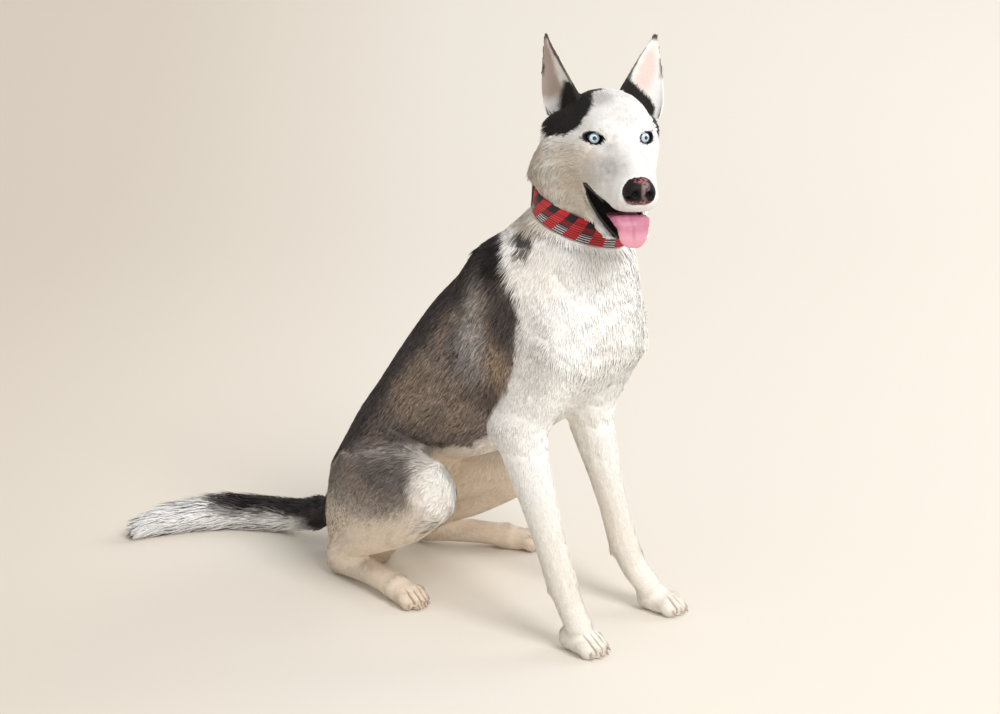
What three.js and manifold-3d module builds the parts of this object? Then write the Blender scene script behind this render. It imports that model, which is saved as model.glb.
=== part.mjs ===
// Siberian husky sitting on the floor, life size, with a woven plaid collar.
// Millimetres. The dog faces +X, its left side is +Y, +Z is up, the floor is Z = 0.
import * as THREE from "three";
import Module from "manifold-3d";

const wasm = await Module();
wasm.setup();

// Driving dimensions
const GAP = 0.3; // thin cut between neighbouring nodes
const HEAD_ORIGIN = [-9.3, -12.9, 669.9]; // midpoint between the pupils
const HEAD_YAW = -38.84; // degrees, the head looks to the dog's right
const HEAD_PITCH = -2.9; // degrees, nose slightly up
const HEAD_ROLL = -1.98; // degrees
const EYE_RADIUS = 11.5;
const EYE_CENTRE = [-10.4, 31, 0]; // head frame, left eye
const EYE_OUTWARD = 16; // degrees each gaze turns from straight ahead
const LID_WIDTH = 24;
const LID_HEIGHT = 14.5;
const EAR_THICKNESS = 4.4;
const TAIL_LENGTH = 400;
const COLLAR_WIDTH = 25;
const COLLAR_THICKNESS = 4;
const COLLAR_CENTRE = [-76, 15, 560];
const COLLAR_SIDES = 32;
const COLLAR_TILT = 18; // degrees, the band drops toward the throat
const CLAW_LENGTH = 9;

// Small vector helpers
const add = (a, b) => [a[0] + b[0], a[1] + b[1], a[2] + b[2]];
const sub = (a, b) => [a[0] - b[0], a[1] - b[1], a[2] - b[2]];
const mul = (a, s) => [a[0] * s, a[1] * s, a[2] * s];
const dot = (a, b) => a[0] * b[0] + a[1] * b[1] + a[2] * b[2];
const cross = (a, b) => [
  a[1] * b[2] - a[2] * b[1],
  a[2] * b[0] - a[0] * b[2],
  a[0] * b[1] - a[1] * b[0],
];
const len = (a) => Math.hypot(a[0], a[1], a[2]);
const unit = (a) => mul(a, 1 / (len(a) || 1));
const mix = (a, b, t) => a + (b - a) * t;
const lerp3 = (a, b, t) => [mix(a[0], b[0], t), mix(a[1], b[1], t), mix(a[2], b[2], t)];
const clamp = (x, lo, hi) => Math.min(hi, Math.max(lo, x));
const rad = (d) => (d * Math.PI) / 180;
const flip = (p, side) => [p[0], p[1] * side, p[2]];

// Catmull-Rom through rows of numbers, at parameter t from 0 to 1
function spline(rows, t) {
  const n = rows.length - 1;
  const s = clamp(t, 0, 1) * n;
  const i = Math.min(n - 1, Math.floor(s));
  const u = s - i;
  const at = (j) => rows[clamp(j, 0, n)];
  const [a, b, c, d] = [at(i - 1), at(i), at(i + 1), at(i + 2)];
  return b.map((_, k) => {
    const m0 = (c[k] - a[k]) / 2;
    const m1 = (d[k] - b[k]) / 2;
    const h00 = 2 * u ** 3 - 3 * u ** 2 + 1;
    const h10 = u ** 3 - 2 * u ** 2 + u;
    const h01 = -2 * u ** 3 + 3 * u ** 2;
    const h11 = u ** 3 - u ** 2;
    return h00 * b[k] + h10 * m0 + h01 * c[k] + h11 * m1;
  });
}

// Head frame
const headBasis = (() => {
  const [y, p, r] = [rad(HEAD_YAW), rad(HEAD_PITCH), rad(HEAD_ROLL)];
  const m = new THREE.Matrix4().makeRotationZ(y);
  m.multiply(new THREE.Matrix4().makeRotationY(p));
  m.multiply(new THREE.Matrix4().makeRotationX(r));
  const e = m.elements;
  return [
    [e[0], e[1], e[2]],
    [e[4], e[5], e[6]],
    [e[8], e[9], e[10]],
  ];
})();
const headToBody = (p) => {
  const [x, y, z] = headBasis;
  return add(HEAD_ORIGIN, add(add(mul(x, p[0]), mul(y, p[1])), mul(z, p[2])));
};
const headDir = (d) => sub(headToBody(d), HEAD_ORIGIN);
const bodyToHead = (p) => {
  const d = sub(p, HEAD_ORIGIN);
  return [dot(d, headBasis[0]), dot(d, headBasis[1]), dot(d, headBasis[2])];
};

// Forms: each has a distance function and a bounding sphere
function ellipsoid(c, r, turn = 0) {
  const [cs, sn] = [Math.cos(rad(turn)), Math.sin(rad(turn))];
  const reach = Math.max(...r);
  return {
    c,
    reach,
    at(p) {
      const dx = p[0] - c[0];
      const dy = p[1] - c[1];
      const dz = p[2] - c[2];
      const x = (cs * dx - sn * dz) / r[0];
      const y = dy / r[1];
      const z = (sn * dx + cs * dz) / r[2];
      const k0 = Math.hypot(x, y, z);
      const k1 = Math.hypot(x / r[0], y / r[1], z / r[2]);
      return k1 < 1e-9 ? -Math.min(...r) : (k0 * (k0 - 1)) / k1;
    },
  };
}

function cone(a, b, ra, rb) {
  const ab = sub(b, a);
  const l2 = dot(ab, ab);
  const rr = ra - rb;
  const a2 = l2 - rr * rr;
  const il2 = 1 / l2;
  return {
    c: lerp3(a, b, 0.5),
    reach: Math.sqrt(l2) / 2 + Math.max(ra, rb),
    at(p) {
      const pa = sub(p, a);
      const y = dot(pa, ab);
      const z = y - l2;
      const q = sub(mul(pa, l2), mul(ab, y));
      const x2 = dot(q, q);
      const y2 = y * y * l2;
      const z2 = z * z * l2;
      const k = Math.sign(rr) * rr * rr * x2;
      if (Math.sign(z) * a2 * z2 > k) return Math.sqrt(x2 + z2) * il2 - rb;
      if (Math.sign(y) * a2 * y2 < k) return Math.sqrt(x2 + y2) * il2 - ra;
      return (Math.sqrt(x2 * a2 * il2) + y * rr) * il2 - ra;
    },
  };
}

// A tube of oval sections. Rows: x, y, z, half-width, half-depth. `ahead` points
// along the depth of the section; `pinch` narrows the side away from it.
function loft(rows, { ahead = [1, 0, 0], pinch = 0, sub: steps = 4, caps = [0.8, 0.8] } = {}) {
  const n = (rows.length - 1) * steps;
  const st = [];
  for (let i = 0; i <= n; i++) {
    const r = spline(rows, i / n);
    const q = spline(rows, Math.min(1, i / n + 0.01));
    const o = spline(rows, Math.max(0, i / n - 0.01));
    const t = unit(sub(q, o));
    const given = r.length > 5 ? [r[5], r[6], r[7]] : ahead;
    const u = r.length > 5 ? unit(given) : unit(sub(given, mul(t, dot(given, t))));
    const s = r.length > 5 ? [0, 1, 0] : unit(cross(t, u));
    const nn = unit(cross(s, u));
    st.push({ c: r.slice(0, 3), w: r[3], h: r[4], u, s, n: dot(nn, t) < 0 ? mul(nn, -1) : nn });
  }
  const mid = lerp3(st[0].c, st[n].c, 0.5);
  const reach = Math.max(...st.map((q) => len(sub(q.c, mid)) + Math.max(q.w, q.h)));
  const stations = st.map((q) => [...q.c, q.w, q.h, ...q.u, ...q.s, ...q.n]);
  const balls = st.slice(1).map((q, i) => {
    const r = Math.max(q.w, q.h, st[i].w, st[i].h);
    return [...lerp3(q.c, st[i].c, 0.5), len(sub(q.c, st[i].c)) / 2 + r];
  });
  return {
    c: mid,
    reach,
    at(p) {
      const [px, py, pz] = p;
      let best = 1e9;
      for (let i = 0; i < n; i++) {
        const o = balls[i];
        const far = Math.hypot(px - o[0], py - o[1], pz - o[2]) - o[3];
        if (far > best && far > 0) continue;
        const a = stations[i];
        const b = stations[i + 1];
        const d0 = (px - a[0]) * a[11] + (py - a[1]) * a[12] + (pz - a[2]) * a[13];
        const d1 = (px - b[0]) * b[11] + (py - b[1]) * b[12] + (pz - b[2]) * b[13];
        const raw = d0 - d1 > 1e-6 ? d0 / (d0 - d1) : d0 > 0 ? 1 : 0;
        const t = raw < 0 ? 0 : raw > 1 ? 1 : raw;
        let out = 0;
        if (d0 < 0) out = i === 0 ? d0 / caps[0] : d0 * 1.5;
        if (d1 > 0 && raw >= 1) out = i === n - 1 ? d1 / caps[1] : d1 * 1.5;
        const g = 1 - t;
        const dx = px - a[0] * g - b[0] * t;
        const dy = py - a[1] * g - b[1] * t;
        const dz = pz - a[2] * g - b[2] * t;
        const w = a[3] * g + b[3] * t;
        const h = a[4] * g + b[4] * t;
        const y =
          (dx * (a[5] * g + b[5] * t) + dy * (a[6] * g + b[6] * t) + dz * (a[7] * g + b[7] * t)) / h;
        const s =
          dx * (a[8] * g + b[8] * t) + dy * (a[9] * g + b[9] * t) + dz * (a[10] * g + b[10] * t);
        const x = s / (w * (1 + pinch * (y < -1 ? -1 : y > 1 ? 1 : y)));
        const m = w < h ? w : h;
        const z = out / m;
        const k0 = Math.sqrt(x * x + y * y + z * z);
        const k1 = Math.sqrt((x * x) / (w * w) + (y * y) / (h * h) + (z * z) / (m * m));
        const v = k1 < 1e-9 ? -m : (k0 * (k0 - 1)) / k1;
        if (v < best) best = v;
      }
      return best;
    },
  };
}

const smin = (a, b, k) => {
  const h = Math.max(k - Math.abs(a - b), 0) / k;
  return Math.min(a, b) - (h * h * k) / 4;
};
const smax = (a, b, k) => -smin(-a, -b, k);

// Blends a list of [form, blend radius]; a negative radius carves the form out
function blend(list) {
  return (p) => {
    let d = 1e9;
    for (const [form, k] of list) {
      const dx = p[0] - form.c[0];
      const dy = p[1] - form.c[1];
      const dz = p[2] - form.c[2];
      const far = Math.sqrt(dx * dx + dy * dy + dz * dz) - form.reach;
      if (k >= 0) {
        if (far > d + k && far > 0) continue;
        if (far > 60 && far < d) {
          d = Math.min(d, far * 0.8 + 10);
          continue;
        }
        d = d > 1e8 ? form.at(p) : smin(d, form.at(p), Math.max(k, 0.01));
      } else {
        if (far > 0 && -far < d + k) continue;
        d = smax(d, -form.at(p), -k);
      }
    }
    return d;
  };
}

// Trunk: back line, belly line and half-width, from the rump up to the base of the neck
const TRUNK = [
  [-488, 62, -436, -18, 54],
  [-497, 112, -386, 50, 69],
  [-480, 172, -345, 112, 74],
  [-440, 240, -305, 168, 76],
  [-392, 304, -262, 200, 82],
  [-343, 370, -205, 220, 91],
  [-290, 434, -144, 250, 96],
  [-237, 486, -80, 300, 90],
  [-180, 528, -30, 366, 78],
];
const trunkRows = TRUNK.map(([bx, bz, ux, uz, w]) => {
  const d = unit([bx - ux, 0, bz - uz]);
  const h = Math.hypot(bx - ux, bz - uz) / 2;
  return [(bx + ux) / 2, 0, (bz + uz) / 2, w, h, ...d];
});

const NECK = [
  [-110, 0, 430, 84, 100],
  [-96, 4, 482, 78, 96],
  [-88, 8, 522, 70, 81],
  [-79, 14, 549, 58, 61],
  [-76, 16, 573, 52, 53],
  [-83, 16, 600, 62, 62],
  [-90, 18, 624, 70, 70],
];

// Limbs, right side negative Y
const FORE = {
  right: {
    scapula: [
      [-188, -44, 478, 28, 34],
      [-128, -56, 440, 36, 50],
      [-62, -64, 398, 38, 50],
    ],
    humerus: [
      [-66, -66, 392, 38, 50],
      [-92, -78, 340, 36, 46],
      [-112, -86, 290, 32, 38],
    ],
    forearm: [
      [-112, -86, 292, 31, 37],
      [-94, -88, 240, 27, 31],
      [-74, -90, 190, 22, 25.5],
      [-54, -91, 138, 20, 22],
      [-38, -90, 94, 20, 21.5],
      [-25, -88, 60, 18.5, 18],
      [-12, -85, 34, 20, 16],
    ],
    paw: [-10, -84, 0],
    heading: -2,
  },
  left: {
    scapula: [
      [-188, 44, 478, 28, 34],
      [-128, 56, 440, 36, 50],
      [-66, 61, 398, 35, 50],
    ],
    humerus: [
      [-70, 63, 392, 36, 50],
      [-98, 76, 340, 36, 46],
      [-120, 80, 290, 32, 38],
    ],
    forearm: [
      [-122, 80, 292, 31, 37],
      [-108, 81, 240, 27, 31],
      [-91, 82, 190, 22, 25],
      [-74, 83, 138, 20, 21.5],
      [-60, 85, 92, 19.5, 21],
      [-44, 89, 58, 18.5, 18],
      [-22, 94, 33, 20, 16],
    ],
    paw: [-8, 98, 0],
    heading: 8,
  },
};

const HIND = {
  right: {
    thigh: [
      [-418, -50, 128, 38, 58],
      [-374, -74, 148, 44, 62],
      [-310, -92, 168, 44, 56],
      [-248, -108, 180, 38, 44],
    ],
    shank: [
      [-238, -112, 172, 33, 38],
      [-290, -104, 132, 32, 38],
      [-350, -90, 96, 27, 33],
      [-405, -76, 62, 20, 24],
      [-440, -68, 36, 17, 20],
    ],
    instep: [
      [-452, -66, 24, 15, 22],
      [-420, -72, 26, 16, 20],
      [-370, -81, 24, 17, 18],
      [-325, -90, 20, 20, 16],
    ],
    paw: [-305, -94, 0],
    heading: -10,
  },
  left: {
    thigh: [
      [-418, 50, 128, 38, 58],
      [-382, 80, 144, 46, 60],
      [-322, 104, 156, 42, 52],
      [-270, 126, 162, 36, 41],
    ],
    shank: [
      [-262, 130, 154, 31, 36],
      [-306, 131, 120, 31, 35],
      [-352, 124, 88, 27, 31],
      [-402, 114, 58, 20, 24],
      [-430, 108, 36, 17, 20],
    ],
    instep: [
      [-440, 106, 24, 15, 22],
      [-408, 118, 26, 16, 20],
      [-366, 140, 24, 17, 18],
      [-328, 163, 20, 20, 16],
    ],
    paw: [-312, 173, 0],
    heading: 30,
  },
};

// Tail centre line: x, y, z, half-width, half-height
const TAIL = [
  [-492, 8, 74, 26, 30],
  [-540, 15, 56, 29, 32],
  [-605, 18, 44, 34, 36],
  [-662, 6, 40, 36, 38],
  [-712, -22, 38, 36, 37],
  [-752, -70, 36, 33, 34],
  [-776, -116, 28, 26, 27],
  [-784, -148, 16, 14, 15],
];
// Rows of locks: share of the tail's length, how many around, length share, half-width, lift
const TAIL_ROWS = [
  [0.15, 6, 0.17, 10.5, 0.7],
  [0.28, 6, 0.2, 11.5, 0.95],
  [0.42, 6, 0.21, 12, 1],
  [0.56, 6, 0.21, 12, 1],
  [0.7, 6, 0.21, 11.5, 1],
  [0.84, 5, 0.19, 9.5, 1],
];
// Share of the brush that is dense core, and how high the core lies, row by row
const TAIL_CORE = [
  [1, 74],
  [0.96, 55],
  [0.6, 33],
  [0.48, 26],
  [0.47, 24],
  [0.46, 22],
  [0.42, 18],
  [0.4, 13],
];
const tailCore = TAIL.map(([x, y, , w, h], i) => {
  const [share, z] = TAIL_CORE[i];
  return [x, y, z, w * share, h * share];
});

// One foot: four toes with a raised knuckle each and the main pad
function foot({ paw, heading }, length, spread) {
  const [c, s] = [Math.cos(rad(heading)), Math.sin(rad(heading))];
  const place = (x, y, z) => [paw[0] + c * x - s * y, paw[1] + s * x + c * y, z];
  const forms = [[cone(place(-14, 0, 18), place(6, 0, 15), 19, 17), 8]];
  const toes = [
    { y: -1.5, x: 0.78, a: -16 },
    { y: -0.52, x: 1, a: -4 },
    { y: 0.52, x: 1, a: 4 },
    { y: 1.5, x: 0.78, a: 16 },
  ];
  const claws = [];
  for (const t of toes) {
    const y = t.y * spread;
    const dx = Math.cos(rad(t.a));
    const dy = Math.sin(rad(t.a));
    const root = place(2, y * 0.62, 17);
    const knuckle = place(length * t.x * 0.56, y, 15.5);
    const tip = place(length * t.x, y + dy * 6, 9.5);
    forms.push([cone(root, knuckle, 10.5, 10.2), 5]);
    forms.push([cone(knuckle, tip, 10, 8.6), 4]);
    forms.push([ellipsoid(place(length * t.x - 1, y + dy * 4, 5), [9, 7, 6]), 3]);
    const from = place(length * t.x + 3.5 * dx, y + dy * 8, 11);
    const to = place(length * t.x + 3.5 + CLAW_LENGTH * dx, y + dy * (8 + CLAW_LENGTH), 3.4);
    claws.push({ from, to });
  }
  forms.push([ellipsoid(place(4, 0, 6), [15, 15, 9]), 5]);
  return { forms, claws };
}

const limbForms = [];
const feet = {};
for (const side of ["right", "left"]) {
  const f = FORE[side];
  const h = HIND[side];
  feet["fore_" + side] = foot(f, 28.5, 9.6);
  feet["hind_" + side] = foot(h, 32, 8.8);
  const elbow = f.humerus[2];
  const wrist = f.forearm[4];
  limbForms.push([loft(f.scapula, { ahead: [0.3, 0, 1], caps: [1, 1] }), 40]);
  limbForms.push([loft(f.humerus, { ahead: [1, 0, 0.3] }), 28]);
  limbForms.push([ellipsoid([elbow[0] - 28, elbow[1], elbow[2] - 4], [18, 17, 24]), 16]);
  limbForms.push([loft(f.forearm, { ahead: [1, 0, 0.3], caps: [0.7, 1] }), 18]);
  limbForms.push([ellipsoid([wrist[0] - 15, wrist[1], wrist[2] - 14], [8, 8, 10]), 6]);
  limbForms.push(...feet["fore_" + side].forms);
  limbForms.push([loft(h.thigh, { ahead: [0, 0, 1], caps: [1, 1] }), 24]);
  limbForms.push([loft(h.shank, { ahead: [0.5, 0, 1], caps: [1, 1] }), 10]);
  limbForms.push([loft(h.instep, { ahead: [0, 0, 1], caps: [1, 1] }), 8]);
  limbForms.push(...feet["hind_" + side].forms);
}

// Head masses in the head frame
const both = (make) => [make(1), make(-1)];
const muzzleRows = [
  [-12, 0, -28, 39, 34],
  [12, 0, -32, 36, 33],
  [40, 0, -43.5, 31, 33.5],
  [66, 0, -53, 26.5, 30],
  [83, 0, -57, 22.5, 25],
];
const jawRows = [
  [-52, 0, -62, 46, 30],
  [-20, 0, -84, 40, 24],
  [10, 0, -100, 31, 18],
  [36, 0, -113, 25, 13.5],
  [59, 0, -119, 19, 10.5],
];
const mouthRows = [
  [2, 0, -62, 110, 2.2],
  [14, 0, -72, 110, 9.5],
  [30, 0, -84, 110, 15.5],
  [52, 0, -94, 110, 18],
  [72, 0, -100, 110, 18.5],
  [104, 0, -102, 110, 20],
];
const lipRows = [
  [-8, 37, -66, 7.5],
  [12, 32, -88, 8],
  [29, 26.5, -105, 8],
  [50, 21, -116.5, 7.5],
  [64, 11, -121, 7],
];
const lipForms = (s) =>
  lipRows.slice(1).map((b, i) => {
    const a = lipRows[i];
    const at = (q) => [q[0], q[1] * (s > 0 ? 0.84 : -1), q[2]];
    return [cone(at(a), at(b), a[3], b[3]), 7];
  });
const headForms = [
  [ellipsoid([-58, 0, 4], [70, 57, 53]), 20],
  [ellipsoid([-84, 0, -8], [46, 56, 52]), 20],
  ...both((s) => [ellipsoid([-90, 36 * s, -37], [36, 37, 42]), 24]),
  ...both((s) => [ellipsoid([-85, 56 * s, 0], [27, 22, 22]), 16]),
  ...both((s) => [ellipsoid([-11, 24 * s, 15], [17, 18, 13]), 14]),
  ...both((s) => [ellipsoid([-44, 38 * s, -28], [44, 23, 36]), 22]),
  ...both((s) => [ellipsoid([-30, 44 * s, -12], [24, 12, 12]), 12]),
  ...both((s) => [ellipsoid([-10, 30 * s, -48], [34, 17, 27]), 14]),
  [loft(muzzleRows, { ahead: [0, 0, 1], pinch: -0.14, caps: [1, 0.55] }), 20],
  ...both((s) => [ellipsoid([22, 27 * s, -56], [32, 13, 20]), 12]),
  ...both((s) => [ellipsoid([62, 15 * s, -63], [26, 15, 20]), 10]),
  [loft(jawRows, { ahead: [0, 0, 1], pinch: 0.12, caps: [1, 1.1] }), 9],
  ...lipForms(1),
  ...lipForms(-1),
  ...both((s) => [ellipsoid([EYE_CENTRE[0], EYE_CENTRE[1] * s, 0], [14, 14, 14]), 6]),
  [loft(mouthRows, { ahead: [0, 0, 1], caps: [0.02, 1] }), -3],
];
const headBlend = blend(headForms);
const headCentre = headToBody([-10, 0, -30]);
const headForm = {
  c: headCentre,
  reach: 175,
  at: (p) => headBlend(bodyToHead(p)),
};

const bodyForms = [
  [loft(trunkRows, { pinch: 0.14, sub: 8, caps: [0.9, 0.9] }), 0],
  [ellipsoid([-70, 0, 420], [58, 62, 88], -14), 38],
  [loft(NECK, { ahead: [1, 0, 0], caps: [0.6, 0.4] }), 40],
  ...limbForms,
  [loft(tailCore, { ahead: [0, 0, 1], caps: [1, 1] }), 16],
  [headForm, 26],
];
const bodyBlend = blend(bodyForms);
const body = (p) => Math.max(bodyBlend(p), -p[2]);

// Turns the zero surface of a distance function inside a box into triangles
const CELL_CASES = (() => {
  const bad = new Uint8Array(256);
  const near = (i) => [i ^ 1, i ^ 2, i ^ 4];
  for (let c = 0; c < 256; c++) {
    for (const want of [0, 1]) {
      const seen = new Set();
      let parts = 0;
      for (let i = 0; i < 8; i++) {
        if (((c >> i) & 1) !== want || seen.has(i)) continue;
        parts++;
        const stack = [i];
        while (stack.length) {
          const j = stack.pop();
          if (seen.has(j)) continue;
          seen.add(j);
          for (const k of near(j)) if (((c >> k) & 1) === want) stack.push(k);
        }
      }
      if (parts > 1) bad[c] = 1;
    }
  }
  return bad;
})();

function polygonise(field, lo, hi, cell) {
  const n = [0, 1, 2].map((k) => Math.max(3, Math.ceil((hi[k] - lo[k]) / cell) + 1));
  const [nx, ny, nz] = n;
  const step = [0, 1, 2].map((k) => (hi[k] - lo[k]) / (n[k] - 1));
  const id = (i, j, k) => (k * ny + j) * nx + i;
  const at = (i, j, k) => [lo[0] + i * step[0], lo[1] + j * step[1], lo[2] + k * step[2]];
  const v = new Float32Array(nx * ny * nz).fill(NaN);
  const B = 4;
  const far = cell * B * 1.15;
  for (let k = 0; k < nz; k += B)
    for (let j = 0; j < ny; j += B)
      for (let i = 0; i < nx; i += B) {
        const half = (B - 1) / 2;
        const d = field(at(i + half, j + half, k + half));
        const fill = Math.abs(d) > far ? d : NaN;
        for (let c = k; c < Math.min(nz, k + B); c++)
          for (let b = j; b < Math.min(ny, j + B); b++)
            for (let a = i; a < Math.min(nx, i + B); a++) {
              const edge = !a || !b || !c || a === nx - 1 || b === ny - 1 || c === nz - 1;
              const q = Number.isNaN(fill) ? field(at(a, b, c)) : fill;
              v[id(a, b, c)] = edge ? Math.max(q, cell * 0.3) : q;
            }
      }
  const caseOf = (i, j, k) => {
    let c = 0;
    for (let m = 0; m < 8; m++)
      if (v[id(i + (m & 1), j + ((m >> 1) & 1), k + (m >> 2))] < 0) c |= 1 << m;
    return c;
  };
  for (let pass = 0; pass < 30; pass++) {
    let changed = 0;
    for (let k = 0; k < nz - 1; k++)
      for (let j = 0; j < ny - 1; j++)
        for (let i = 0; i < nx - 1; i++) {
          const c = caseOf(i, j, k);
          if (!c || c === 255 || !CELL_CASES[c]) continue;
          let pick = -1;
          let small = 1e9;
          for (let m = 0; m < 8; m++) {
            const q = id(i + (m & 1), j + ((m >> 1) & 1), k + (m >> 2));
            if (!(v[q] < 0)) continue;
            if (-v[q] < small) {
              small = -v[q];
              pick = q;
            }
          }
          v[pick] = 0.02 * cell;
          changed++;
        }
    if (!changed) break;
  }
  const pos = [];
  const cellVertex = new Int32Array(nx * ny * nz).fill(-1);
  for (let k = 0; k < nz - 1; k++)
    for (let j = 0; j < ny - 1; j++)
      for (let i = 0; i < nx - 1; i++) {
        const c = caseOf(i, j, k);
        if (!c || c === 255) continue;
        let sum = [0, 0, 0];
        let count = 0;
        for (let m = 0; m < 8; m++)
          for (const bit of [1, 2, 4]) {
            if (m & bit) continue;
            const q = m | bit;
            if (((c >> m) & 1) === ((c >> q) & 1)) continue;
            const pa = [i + (m & 1), j + ((m >> 1) & 1), k + (m >> 2)];
            const pb = [i + (q & 1), j + ((q >> 1) & 1), k + (q >> 2)];
            const va = v[id(...pa)];
            const vb = v[id(...pb)];
            sum = add(sum, lerp3(at(...pa), at(...pb), clamp(va / (va - vb), 0.05, 0.95)));
            count++;
          }
        cellVertex[id(i, j, k)] = pos.length;
        pos.push(mul(sum, 1 / count));
      }
  const tri = [];
  const quad = (a, b, c, d, turn) => {
    const q = turn ? [a, d, c, b] : [a, b, c, d];
    const d1 = len(sub(pos[q[0]], pos[q[2]]));
    const d2 = len(sub(pos[q[1]], pos[q[3]]));
    if (d1 <= d2) tri.push([q[0], q[1], q[2]], [q[0], q[2], q[3]]);
    else tri.push([q[0], q[1], q[3]], [q[1], q[2], q[3]]);
  };
  for (let k = 1; k < nz - 1; k++)
    for (let j = 1; j < ny - 1; j++)
      for (let i = 0; i < nx - 1; i++) {
        const [a, b] = [v[id(i, j, k)] < 0, v[id(i + 1, j, k)] < 0];
        if (a !== b)
          quad(
            cellVertex[id(i, j - 1, k - 1)],
            cellVertex[id(i, j, k - 1)],
            cellVertex[id(i, j, k)],
            cellVertex[id(i, j - 1, k)],
            b,
          );
      }
  for (let k = 1; k < nz - 1; k++)
    for (let j = 0; j < ny - 1; j++)
      for (let i = 1; i < nx - 1; i++) {
        const [a, b] = [v[id(i, j, k)] < 0, v[id(i, j + 1, k)] < 0];
        if (a !== b)
          quad(
            cellVertex[id(i - 1, j, k - 1)],
            cellVertex[id(i - 1, j, k)],
            cellVertex[id(i, j, k)],
            cellVertex[id(i, j, k - 1)],
            b,
          );
      }
  for (let k = 0; k < nz - 1; k++)
    for (let j = 1; j < ny - 1; j++)
      for (let i = 1; i < nx - 1; i++) {
        const [a, b] = [v[id(i, j, k)] < 0, v[id(i, j, k + 1)] < 0];
        if (a !== b)
          quad(
            cellVertex[id(i - 1, j - 1, k)],
            cellVertex[id(i, j - 1, k)],
            cellVertex[id(i, j, k)],
            cellVertex[id(i - 1, j, k)],
            b,
          );
      }
  return { pos, tri };
}

// Pulls vertices onto the surface and evens out their spacing
function relax({ pos, tri }, field, lo, hi, cell, rounds) {
  const ring = pos.map(() => new Set());
  for (const [a, b, c] of tri) {
    ring[a].add(b).add(c);
    ring[b].add(a).add(c);
    ring[c].add(a).add(b);
  }
  const e = cell * 0.08;
  const wall = pos.map((p) => [0, 1, 2].some((k) => p[k] < lo[k] + cell || p[k] > hi[k] - cell));
  for (let r = 0; r < rounds; r++) {
    const next = pos.map((p, i) => {
      if (wall[i]) return p;
      let q = p;
      if (r < rounds - 1) {
        let m = [0, 0, 0];
        for (const j of ring[i]) m = add(m, pos[j]);
        q = lerp3(p, mul(m, 1 / ring[i].size), 0.5);
      }
      for (let s = 0; s < (r < rounds - 1 ? 1 : 2); s++) {
        const v = field(q);
        const g = [0, 1, 2].map((k) => {
          const a = q.slice();
          a[k] += e;
          return (field(a) - v) / e;
        });
        const g2 = dot(g, g);
        if (g2 < 0.05) break;
        q = sub(q, mul(g, clamp(v / g2, -cell * 0.5, cell * 0.5)));
      }
      return q;
    });
    for (let i = 0; i < pos.length; i++) pos[i] = next[i];
  }
}

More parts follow.
